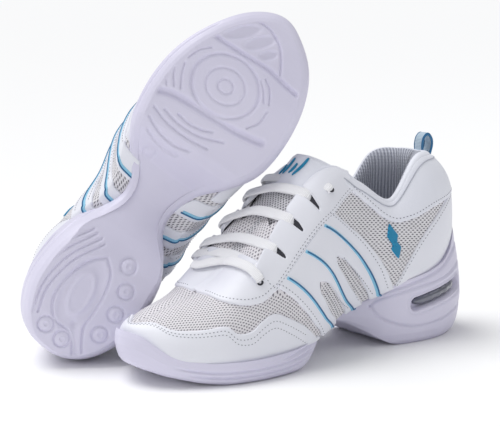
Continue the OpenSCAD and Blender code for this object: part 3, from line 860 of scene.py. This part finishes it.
place("quarter_mesh", chart_sheet(1.3, 4.95, -0.35, 0.99, 90, 44, uv_fn=quarter_uv), [QUARTER_MESH],
      "arch", ("quarter_mesh",))
place("side_mesh", chart_sheet(4.9, 6.02, -0.35, 0.80, 40, 44), [VAMP_MESH], "arch")
place("vamp_mesh", weld(chart_sheet(6.0, 12.0, 0.0, 1.0, 150, 60, (1,)), 0.02), [VAMP_MESH],
      "ball", ("vamp_mesh", "toe_mesh"))

# ---- leather panels ----------------------------------------------------------------------------
MUD_TOP = [(4.98, -.02), (5.34, .07), (5.72, .14), (6.01, .19), (6.24, .18), (6.46, .15), (6.71, .18),
           (6.91, .28), (7.17, .31), (7.59, .34), (7.95, .40), (8.30, .58), (8.65, .66), (9, .68)]
MUD_LOW = [(4.9, -.22)] + [(s, -.25) for s, _ in MUD_TOP[1:]]
TOE_S = 9


def round_toe(rows):
    """A curve up to the toe, and its other half."""
    return rows + [(2 * TOE_S - s, t) for s, t in rows[-2::-1]]


def mirrored(rows):
    """A curve up to the heel's middle, and its other half."""
    return rows + [(-s, t) for s, t in rows[-2::-1]]


def offset_rows(rows, ds, dt):
    return [(s + ds, t + dt) for s, t in rows]


place("mudguard", panel(round_toe(MUD_LOW), round_toe(MUD_TOP), 0.1, 1.3, 260, 16), [LEATHER],
      "ball", ("mudguard", "toe_cap"))

THROAT_LOW = [(5.86, .33), (6.0, .325), (6.26, .31), (6.6, .39), (6.95, .58), (7.22, .84), (7.36, 1.0)]
THROAT_TOP = [(5.92, .345), (6.04, .40), (6.17, .50), (6.32, .62), (6.46, .76), (6.56, .89), (6.6, 1.0)]
RIDGE_LIFT = 1.7


def throat_panel():
    """One sheet across the ridge: both halves share their averaged last row."""
    grid = between(THROAT_LOW, THROAT_TOP, 70, 24)
    lat, med = (on_side(grid, side, 1.5) for side in (1, -1))
    ridge = (lat[-1:] + med[-1:]) / 2 + [0, 0, RIDGE_LIFT]
    for k in range(1, 5):
        ease = 0.5 * (1 - k / 5)
        gap = lat[-1 - k] - med[-1 - k]
        lat[-1 - k, :, 2] += RIDGE_LIFT * 2 * ease - gap[:, 2] * ease
        med[-1 - k, :, 2] += RIDGE_LIFT * 2 * ease + gap[:, 2] * ease
    return skirt(sheet(np.concatenate([lat[:-1], ridge, med[:-1][::-1]])), 1.4)


place("throat_panel", throat_panel(), [LEATHER], "ball", ("throat_panel",))

# Side panel with two mesh slots: columns run from its front edge (0) to its rear edge (8)
SIDE_LINES = [
    [(5.92, .335), (5.51, .21), (5.10, .08), (4.84, -.02), (4.70, -.30)],
    [(5.72, .37), (5.25, .22), (4.85, .09), (4.53, -.02), (4.40, -.30)],
    [(5.60, .40), (5.05, .225), (4.69, .09), (4.42, -.02), (4.30, -.34)],
    [(5.58, .405), (4.79, .27), (4.38, .15), (4.07, -.02), (3.95, -.34)],
    [(5.34, .47), (4.69, .31), (4.22, .13), (3.88, -.02), (3.78, -.30)],
    [(5.22, .505), (4.58, .36), (4.13, .20), (3.74, -.02), (3.64, -.34)],
    [(5.20, .51), (4.33, .415), (3.88, .27), (3.53, -.02), (3.43, -.34)],
    [(4.95, .60), (4.15, .50), (3.68, .30), (3.36, -.02), (3.28, -.30)],
    [(4.78, .675), (3.95, .60), (3.45, .38), (3.12, -.02), (3.05, -.30)],
]
SLOTS = (2, 5)


def side_panel():
    """Three bands in one sheet: columns between the side lines, less the slots."""
    rows, fill = 140, 5
    p = np.linspace(0, 1, rows)
    lines = np.stack([curve(line, p) for line in SIDE_LINES])
    opening = np.clip((p - 0.20) / 0.07, 0, 1) ** 0.5
    for k in SLOTS:
        mid = (lines[k] + lines[k + 1]) / 2
        for j in (k, k + 1):
            lines[j] = mid + (lines[j] - mid) * opening[:, None]
    part = Part()
    for side in (1, -1):
        one = Part()
        for k in range(len(lines) - 1):
            w = np.linspace(0, 1, fill)
            g = lines[k][:, None] + (lines[k + 1] - lines[k])[:, None] * w[None, :, None]
            pts = on_side(g, side, 1.4)
            f = quads(rows, fill, flip=side < 0)
            if k in SLOTS:
                f = f[(f // fill).max(1) <= int(np.argmax(opening > 0.0))]
            one.add(pts, f, weave_uv(pts))
        merge(part, skirt(fix_winding(weld(one, 0.02)), 1.3))
    return part


place("side_panel", side_panel(), [LEATHER], "arch", ("side_bands_front", "side_band_rear"))

HEEL_TOP = [(3.0, -.02), (2.75, .21), (2.42, .39), (1.91, .485), (1.2, .53), (0, .55)]
HEEL_LOW = [(s, -.25) for s, _ in HEEL_TOP]
place("heel_counter", panel(mirrored(HEEL_LOW), mirrored(HEEL_TOP), 0.05, 1.1, 160, 24), [LEATHER],
      "heel", ("heel_counter",))
COLLAR_LOW = [(4.42, .94), (4.11, .93), (3.67, .90), (3.3, .855), (2.84, .76), (2.41, .655),
              (1.82, .585), (1.2, .545), (0, .50)]
COLLAR_TOP = [(s, 1.0) for s in (4.62, 4.2, 3.7, 3.3, 2.85, 2.41, 1.82, 1.1, 0)]
place("collar", panel(mirrored(COLLAR_LOW), mirrored(COLLAR_TOP), 0.1, 1.7, 220, 22), [PADDED],
      "arch", ("collar",))

# Eyestay: lace straps as fingers of one panel, and the large top flap with its punched hole
STAY_OUT = [(5.98, .325), (5.71, .39), (5.36, .49), (5.01, .59), (4.7, .68), (4.42, .82), (4.14, .97)]
STAY_IN = [(6.36, .50), (6.12, .60), (5.80, .73), (5.47, .86), (5.20, .96), (4.86, 1.0), (4.5, 1.0)]
GAPS = (0.205, 0.37, 0.535)


def eyestay():
    """Lace straps as fingers of one panel, with the gaps between them cut back."""
    rows, cols = 150, 22
    p, q = np.linspace(0, 1, rows), np.linspace(0, 1, cols)
    A, B = curve(STAY_OUT, p), curve(STAY_IN, p)
    reach = np.ones(rows)
    for g in GAPS:
        reach -= 0.76 * up_to(np.abs(p - g), 0.021, 0.003)
    share = q[None, :] * reach[:, None]
    grid = A[:, None] + (B - A)[:, None] * share[..., None]
    lift = 1.5 + 2.2 * np.clip((share - .35) / .65, 0, 1) ** 1.5
    part = Part()
    for side in (1, -1):
        merge(part, skirt(sheet(on_side(grid, side, lift), side), 2.0))
    return part


place("eyestay", eyestay(), [LEATHER], "arch", ("eyestay_rear", "eyestay_front"))

# ---- blue piping, stitching and marks ----------------------------------------------------------
PIPES = [[(5.72, .352), (5.25, .215), (4.85, .085), (4.50, -.03), (4.38, -.26)],
         [(5.34, .45), (4.69, .305), (4.22, .125), (3.87, -.03), (3.77, -.26)],
         [(4.93, .575), (4.12, .495), (3.67, .30), (3.36, -.03), (3.28, -.26)]]
pipes, halo = Part(), Part()
for line in PIPES:
    for side in (1, -1):
        path, up = chart_path(line, 60, side, 1.75)
        pipes.add(*tube(path, 0.5, 0.6, up))
        shifted = offset_rows(line, .032, .006)
        path, up = chart_path(shifted, 60, side, 1.45)
        halo.add(*tube(path, 1.05, 0.4, up))
place("piping", pipes, [BLUE], "arch", ("piping_front", "piping_rear"))
place("piping_edge", halo, [PALE_BLUE], "arch")

MUD_SEAMS = [round_toe(offset_rows(MUD_TOP[1:], 0, dt))[:-1] for dt in (-.03, -.065)]
THROAT_SEAMS = [offset_rows(THROAT_LOW[1:-1], 0, .03), offset_rows(THROAT_TOP[1:-2], .03, -.035)]
PANEL_SEAMS = [STAY_OUT, offset_rows(STAY_OUT, .05, .012), offset_rows(SIDE_LINES[0][:4], -.05, 0.0),
               [(5.02, .26), (4.62, .135), (4.38, .03)], [(4.86, .255), (4.36, .12), (4.05, .03)],
               [(4.54, .405), (4.12, .23), (3.80, .03)], [(4.38, .415), (3.86, .25), (3.51, .03)],
               offset_rows(SIDE_LINES[8][:4], .06, -.01)]
HEEL_SEAM = mirrored(offset_rows(HEEL_TOP[:-2], .03, -.03) + [(1.2, .51), (0, .52)])
COLLAR_SEAM = mirrored(offset_rows(COLLAR_LOW, 0, .025))
for name, rows, body in (
        ("mudguard", stitches(MUD_SEAMS, 2.3, 1.3, sides=(1,)), "ball"),
        ("throat", stitches(THROAT_SEAMS, 2.3, 1.3, 1.6), "ball"),
        ("panel", stitches(PANEL_SEAMS, 2.5, 1.4, 1.55), "arch"),
        ("heel", stitches([HEEL_SEAM], lift=1.3, sides=(1,)), "heel"),
        ("collar", stitches([COLLAR_SEAM], lift=1.9, sides=(1,)), "arch")):
    place(name + "_stitching", rows, [THREAD], body)

# ---- padded collar roll, lining and insole -----------------------------------------------------
PAD = [(0, 15), (1, 13), (2, 8), (3, 6), (4, 5.5), (5.4, 4.5)]
ROLL = [(0, -0.3), (.10, 1.5), (.30, 2.7), (.55, 2.3), (.80, 0.0), (.95, -4.0), (1.0, -9.0)]


def inward(s):
    e = 0.03
    t = ring(HIGH, s + e) - ring(HIGH, s - e)
    return unit(np.stack([t[..., 1], -t[..., 0], 0 * t[..., 0]], -1))


OPENING_X = 60


def lining():
    """Padded roll of the ankle opening, and its cloth wall down to the insole."""
    rows, roll_cols, wall_cols = 230, 16, 26
    S = np.linspace(-5.35, 5.35, rows)
    n = inward(S)
    middle = ring(HIGH, S) - np.array([OPENING_X, 0, 0])
    n = n * -np.sign(np.sum(n[:, :2] * middle[:, :2], 1))[:, None]
    rim = skin(S, np.ones(rows), 1.6)
    depth = np.interp(np.abs(S), *np.array(PAD).T)
    prof = curve(ROLL, np.linspace(0, 1, roll_cols))
    over = rim[:, None] + n[:, None] * (prof[None, :, 0] * depth[:, None])[..., None]
    over[..., 2] = rim[:, None, 2] + prof[None, :, 1]
    w = np.linspace(0, 1, wall_cols + 1)[1:]
    low = np.minimum(level(BED, rim[:, 0]) + 5, rim[:, 2] - 12)
    hang = -0.35 * np.sin(np.pi * w * .5)[None] * depth[:, None]
    wall = over[:, -1:] + n[:, None] * hang[..., None]
    wall[..., 2] = over[:, -1:, 2] + (low - over[:, -1, 2])[:, None] * w[None]
    grid = np.concatenate([over, wall], 1)
    cols = grid.shape[1]
    uv = np.stack([np.repeat(run_length(rim)[:, None], cols, 1), grid[..., 2]], -1)
    part = Part().add(grid, quads(rows, cols), uv)
    leather = int(roll_cols * 0.45)
    part.m = [int(f[0] % cols >= leather) for f in part.f]
    k = (len(part.f) // 2 // (cols - 1)) * (cols - 1) + cols - 3
    centre = grid.reshape(-1, 3)[part.f[k]].mean(0)
    return aim(part, k, [OPENING_X - centre[0], -centre[1], 0])


place("collar_lining", lining(), [PADDED, LINING], "arch", ("heel_lining",))
place("forefoot_lining", chart_sheet(4.7, 6.35, .02, .78, 40, 24, lift=-3.2), [LINING],
      "arch", ("forefoot_lining",))


def insole(x0, x1, rows, cols=17):
    x = np.linspace(x0, x1, rows)
    q = np.linspace(0, 1, cols)
    share = np.interp(x, [12, 50, 200, 228], [.78, .84, .80, .62])
    lat, med = plan_at(x, 1) * share, plan_at(x, -1) * share
    y = med[:, None] + (lat - med)[:, None] * q
    z = level(BED, x)[:, None] + 5 + 2.0 * (2 * q - 1) ** 4
    pts = np.stack([np.repeat(x[:, None], cols, 1), y, z], -1)
    return skirt(aim(Part().add(pts, quads(rows, cols), pts[..., :2]), 8, [0, 0, 1]), 4.0, 1.5)


place("insole_rear", insole(12, 163, 60), [INSOLE], "arch", ("heel_insole", "forefoot_insole"))
place("insole_front", insole(163.2, 228, 40), [INSOLE], "ball", ("toe_insole",))

# ---- tongue ------------------------------------------------------------------------------------
TONGUE_LINE = [(190, 54.5), (180, 62), (170, 72), (160, 81.5), (150, 91), (141, 99.5), (133, 107)]


def tongue_lower():
    rows, cols = 70, 30
    line = curve(TONGUE_LINE, np.linspace(0, 1, rows))
    v = np.linspace(-1, 1, cols)
    half = np.linspace(15, 22, rows)
    y = v[None] * half[:, None] - 1.5
    z = line[:, 1:2] + 1.6 - 3.4 * v[None] ** 2
    pts = np.stack([line[:, :1] + 0 * y, y, z], -1)
    uv = np.stack([run_length(line)[:, None] + 0 * y, y], -1)
    return skirt(aim(Part().add(pts, quads(rows, cols), uv), 500, [0, 0, 1]), 3.0, 1.2)


def flap_point(u, v):
    """Middle surface of the padded tongue top: u up it, v across it."""
    up = np.maximum(u, 0)
    x = 135 - 19 * u - 13 * np.abs(v) ** 2.2 * up ** .8
    y = v * (18.5 + 3.0 * u - 2.5 * u ** 6) - 1.5
    z = 104.5 + 23 * u - (2.5 + 7.5 * up ** 1.5) * np.abs(v) ** 2.4
    return np.stack([x, y, z], -1)


def flap_frame(u, v):
    """Direction in which the tongue top faces."""
    e = 0.01
    a = flap_point(u + e, v) - flap_point(u - e, v)
    b = flap_point(u, v + e) - flap_point(u, v - e)
    n = unit(np.cross(b, a))
    return n * np.sign(n[..., :1] + n[..., 2:] + 1e-6)


FLAP_HALF = 3.3
PUFF = 0.7
PUFF_PRESSURE = 0.5
PUFF_SCALE = 20.0


def puffed(part):
    """Padding blown up by Cloth at PUFF_SCALE times its size; no point travels past PUFF."""
    scene = bpy.context.scene
    first = np.concatenate(part.v)
    mesh = bpy.data.meshes.new("pad")
    mesh.from_pydata((first * MM * PUFF_SCALE).tolist(), [], part.f)
    pad = bpy.data.objects.new("pad", mesh)
    scene.collection.objects.link(pad)
    cloth = pad.modifiers.new("air", "CLOTH")
    cloth.settings.use_pressure = True
    cloth.settings.uniform_pressure_force = PUFF_PRESSURE
    cloth.settings.effector_weights.gravity = 0
    for step in range(1, 21):
        scene.frame_set(step)
    blown = pad.evaluated_get(bpy.context.evaluated_depsgraph_get()).to_mesh()
    travel = np.array([v.co[:] for v in blown.vertices]) / (MM * PUFF_SCALE) - first
    scene.frame_set(1)
    bpy.data.objects.remove(pad)
    length = np.linalg.norm(travel, axis=1, keepdims=True)
    part.v = [first + travel * np.minimum(1, PUFF / np.maximum(length, 1e-9))]
    return part


def tongue_flap(half):
    """Padded closed cushion: two crowned faces that meet at a drawn-in rim."""
    rows, cols = 56, 56
    ease = np.sin(np.linspace(-1, 1, rows) * np.pi / 2)
    U, V = np.meshgrid((ease + 1) / 2, ease, indexing="ij")
    across, up = np.abs(V), np.abs(2 * U - 1)
    crown = np.clip(1 - up ** 10, 0, 1) ** .5 * np.clip(1 - across ** 8, 0, 1) ** .5
    seam = np.exp(-(((np.maximum(across, up) - .86) / .035) ** 2))
    P, N = flap_point(U, V), flap_frame(U, V)
    uv = np.stack([U * 30, V * 20], -1)
    part = Part()
    for slot, sign in enumerate((1, -1)):
        pts = P + N * (sign * half * crown * (1 - .22 * seam))[..., None]
        part.add(pts, quads(rows, cols, flip=sign > 0), uv, slot)
    return aim(weld(part, 0.01), rows * 20, flap_frame(np.array(.5), np.array(0.0)))


place("tongue", tongue_lower(), [TONGUE_MESH], "arch", ("tongue",))
pad_top = puffed(tongue_flap(FLAP_HALF - PUFF))
place("tongue_flap", pad_top, [PADDED, LINING], "tongue_flap", ("tongue_flap",))

# Four plain strokes: from u0 to u1 up the tongue top, from v0 to v1 across it
STROKES = ((.40, .66, -.52, -.36), (.42, .84, -.30, -.12), (.46, .72, -.02, .10), (.42, .90, .18, .34))
marks = Part()
for u0, u1, v0, v1 in STROKES:
    w = np.linspace(0, 1, 16)
    U, V = u0 + (u1 - u0) * w, v0 + (v1 - v0) * w + .04 * np.sin(w * np.pi)
    out = flap_frame(U, V)
    taper = .45 + .55 * np.sin(np.pi * w) ** .5
    marks.add(*tube(flap_point(U, V) + out * (FLAP_HALF + .25), 1.15, .55, out, taper=taper))
place("tongue_mark", marks, [EMBROIDERY], "tongue_flap", ("tongue_mark",))


# ---- laces -------------------------------------------------------------------------------------
def stay_point(p, q, side, lift):
    a, b = curve(STAY_OUT, np.array([p])), curve(STAY_IN, np.array([p]))
    g = (a + (b - a) * q)[0]
    return skin(side * g[0], g[1], lift), normal(side * g[0], g[1])


LACE_UP = np.array([.62, 0, .78])


def lace_bar(lat, med, crown, width=3.9, thick=1.25):
    """One flat lace run from the outer side over the tongue to the inner side."""
    (a, na), (b, nb) = lat, med
    mid = (a + b) / 2
    mid[2] = max(a[2], b[2]) + crown
    path = [a - na * 3.4 + unit(a - b) * 1.5, a, a * .75 + mid * .25 + na * 1.6, mid,
            b * .75 + mid * .25 + nb * 1.6, b, b - nb * 3.4 + unit(b - a) * 1.5]
    t = np.linspace(0, 1, 50)
    flat = [na * .5 + LACE_UP * .7, LACE_UP, nb * .5 + LACE_UP * .7]
    up = unit(curve([na, na, *flat, nb, nb], t))
    return tube(curve(path, t), width, thick, up, 16, 0.72 + 0.28 * np.sin(np.pi * t) ** .6)


# Each run: place on the outer eyestay, place on the inner one, height of its middle
LACE_RUNS = (((.06, .86), (.02, .80), 4.5), ((.205, .78), (.10, .86), 2.6),
             ((.37, .78), (.25, .86), 2.6), ((.535, .78), (.42, .86), 2.6))
# The lowest run lies on the throat panel, from hole to hole
LOW_RUN = [(6.27, .45), (6.39, .57), (6.54, .71), (6.66, .85), (6.74, .97), (-6.76, .88), (-6.77, .77),
           (-6.70, .68)]


def lacing():
    laces = Part()
    for outer, inner, crown in LACE_RUNS:
        laces.add(*lace_bar(stay_point(*outer, 1, 1.4), stay_point(*inner, -1, 5.0), crown))
    eyelet = skin(4.88, .83, 2.6), normal(4.88, .83)
    laces.add(*lace_bar(eyelet, stay_point(.56, .86, -1, 4.5), 2.0, 3.4, 1.2))
    on = np.array([skin(s, t, 3.9) for s, t in LOW_RUN])
    away = np.array([normal(s, t) for s, t in LOW_RUN])
    on = np.concatenate([[on[0] - away[0] * 5], on, [on[-1] - away[-1] * 5]])
    away = np.concatenate([away[:1], away, away[-1:]])
    t = np.linspace(0, 1, 60)
    taper = 0.75 + 0.25 * np.sin(np.pi * t) ** .6
    return laces.add(*tube(curve(on, t), 3.3, 1.1, unit(curve(away, t)), 16, taper))


def strap_gap_shade():
    """Painted shade: dark sheets in the openings behind the lace straps."""
    gaps = Part()
    for g in GAPS:
        for side in (1, -1):
            p, q = np.meshgrid(g + np.linspace(-.03, .03, 8), np.linspace(.16, .80, 12), indexing="ij")
            a, b = curve(STAY_OUT, p.ravel()), curve(STAY_IN, p.ravel())
            c = (a + (b - a) * q.ravel()[:, None]).reshape(8, 12, 2)
            merge(gaps, sheet(on_side(c, side, 0.2), side, c))
    return gaps


def punched_hole_shade():
    """Dark discs with a pressed rim: painted shade inside the holes where the lace goes through the leather.
    """
    punched = Part()
    k = 24
    for s, t, side in ((4.86, .825, 1), (4.86, .825, -1), (6.26, .43, 1), (6.70, .67, -1)):
        c, n = skin(side * s, t, 1.62 if s > 6 else 3.1), normal(side * s, t)
        a = unit(np.cross(n, [0, 0, 1]))
        b = np.cross(n, a)
        rim = [c + (a * np.cos(x) + b * np.sin(x)) * 2.1 for x in np.arange(k) * 2 * np.pi / k]
        inner = [p + n * .15 - (p - c) * .25 for p in rim]
        punched.add(rim + inner + [c - n * .4], [[i, (i + 1) % k, k + (i + 1) % k, k + i] for i in range(k)]
                    + [[k + i, k + (i + 1) % k, 2 * k] for i in range(k)])
    return punched


place("laces", lacing(), [LACE], "arch", ("laces",))
place("strap_gap_shade", strap_gap_shade(), [SHADOW], "arch")
# collar seam: a thin grey tube as painted shade along the seam crease
path, up = chart_path(mirrored([(s * .985, t - .035) for s, t in COLLAR_TOP]), 200, 1, 1.95)
place("collar_seam", Part().add(*tube(path, .4, .28, up)), [SEAM_SHADE], "arch")
place("punched_hole_shade", punched_hole_shade(), [SHADOW], "arch")

# ---- pull loop ---------------------------------------------------------------------------------
LOOP_LINE = [(14.6, 114), (12.4, 120), (10.6, 126), (11.2, 130.5), (14.6, 133.8), (18.2, 131.5),
             (19.6, 126.5), (19.4, 121), (21.0, 115.5)]


def pull_loop():
    """The webbing, and the trim along its two edges."""
    line = curve(LOOP_LINE, np.linspace(0, 1, 70))
    path = np.stack([line[:, 0], 0 * line[:, 0], line[:, 1]], -1)
    out = np.cross(unit(np.gradient(path, axis=0)), [0, 1, 0])
    trim = Part()
    for y in (-3.6, 3.6):
        trim.add(*tube(path + [0, y, 0] - out * 0.1, .4, .98, out, 10))
    return Part().add(*tube(path, 3.9, .85, out, 20)), trim


webbing, trim = pull_loop()
place("pull_loop", webbing, [WEBBING], "pull_loop", ("pull_loop",))
place("pull_loop_edges", trim, [BLUE], "pull_loop")


# ---- cushion seen in the heel slot -------------------------------------------------------------
def air_cushion():
    cushion = Part()
    run = np.linspace(1 - SLOT_HALF, SLOT_HALF - 1, 40)
    x, z = SLOT_AT[0] + run * SLOT_WAY[0], SLOT_AT[1] + run * SLOT_WAY[1]
    swell = np.clip(1 - (np.abs(run) / SLOT_HALF) ** 6, .2, 1) * (1 + .05 * np.cos(run * .9))
    for sign in (1, -1):
        y = plan_at(x, sign) - sign * 6.6
        cushion.add(*tube(np.stack([x, y, z], -1), 3.8, 3.6, None, 16, swell))
    return cushion


place("air_cushion", air_cushion(), [CUSHION], "heel", ("air_cushion",))

# ---- embroidered mark on each side of the heel: two stacked diamonds ---------------------------
DIAMONDS = ((3.13, .63, 7.5, 3.6), (3.06, .47, 6.5, 3.2))


def heel_mark():
    mark = Part()
    cols, e = 9, 0.02
    A, B = np.meshgrid(np.linspace(-1, 1, cols), np.linspace(-1, 1, cols), indexing="ij")
    for side in (1, -1):
        for cs, ct, tall, wide in DIAMONDS:
            per_s = np.linalg.norm(cloth(cs + e, ct) - cloth(cs - e, ct)) / (2 * e)
            per_t = np.linalg.norm(cloth(cs, ct + e) - cloth(cs, ct - e)) / (2 * e)
            a, b = (A + B) / 2 * wide + (A - B) / 2 * tall * .22, (A - B) / 2 * tall
            pts = skin(side * (cs + a / per_s), ct + b / per_t, 0.9)
            merge(mark, skirt(sheet(pts, side, np.stack([a, b], -1)), 0.8, 0.5))
    return mark


place("heel_mark", heel_mark(), [EMBROIDERY], "heel", ("heel_emblem",))

# ---- floor, light and camera -------------------------------------------------------------------
FLOOR_HALF = 60.0
WORLD_LIGHT, SUN_LIGHT, SUN_SOFTNESS, SUN_FROM = 0.43, 1.9, 40, (0.30, -0.35, 1.0)
SOFTBOXES = (("side", (1.6, 0.3, 0.9), (0.08, -0.05, 0.08), 0.8, 3.2),
             ("rear", (-0.9, 0.9, 1.3), (0.1, -0.1, 0.1), 0.8, 2.5))
CAMERA_AT = (0.6245, 0.7043, 0.2477)
CAMERA_AZIMUTH, CAMERA_ELEVATION, CAMERA_ROLL = 144.42, 10.0, -0.56
CAMERA_FIELD = 20.13


def add_object(name, data):
    obj = bpy.data.objects.new(name, data)
    bpy.context.scene.collection.objects.link(obj)
    return obj


def build_floor():
    floor = bpy.data.meshes.new("floor")
    s = FLOOR_HALF
    floor.from_pydata([(-s, -s, 0), (s, -s, 0), (s, s, 0), (-s, s, 0)], [], [(0, 1, 2, 3)])
    floor.materials.append(Nodes("pale_floor").finish(rgb(253, 253, 253), 0.7, 0.0, 0.0))
    add_object("floor", floor)


def build_lights():
    world = bpy.data.worlds.new("studio")
    bpy.context.scene.world = world
    world.use_nodes = True
    back = world.node_tree.nodes["Background"]
    back.inputs[0].default_value = (0.97, 0.98, 1, 1)
    back.inputs[1].default_value = WORLD_LIGHT
    sun = bpy.data.lights.new("overhead", "SUN")
    sun.angle = math.radians(SUN_SOFTNESS)
    sun.energy = SUN_LIGHT
    add_object("overhead", sun).rotation_euler = Vector(SUN_FROM).to_track_quat("Z", "Y").to_euler()
    for name, at, target, size, power in SOFTBOXES:
        light = bpy.data.lights.new(name, "AREA")
        light.size, light.energy = size, power
        box = add_object(name, light)
        box.location = at
        box.rotation_euler = (Vector(target) - Vector(at)).to_track_quat("-Z", "Y").to_euler()
    bpy.context.scene.view_settings.view_transform = "Standard"


def build_camera():
    az, el, roll = (math.radians(a) for a in (CAMERA_AZIMUTH, CAMERA_ELEVATION, CAMERA_ROLL))
    back = Vector((math.sin(az) * math.cos(el), -math.cos(az) * math.cos(el), math.sin(el)))
    right = Vector((math.cos(az), math.sin(az), 0))
    up = back.cross(right)
    x = right * math.cos(roll) + up * math.sin(roll)
    y = -right * math.sin(roll) + up * math.cos(roll)
    data = bpy.data.cameras.new("camera")
    data.sensor_width = 36
    data.angle = math.radians(CAMERA_FIELD)
    data.clip_start, data.clip_end = 0.05, 200
    cam = add_object("camera", data)
    cam.matrix_world = Matrix.Translation(CAMERA_AT) @ Matrix((x, y, back)).transposed().to_4x4()
    bpy.context.scene.camera = cam


build_floor()
build_lights()
build_camera()
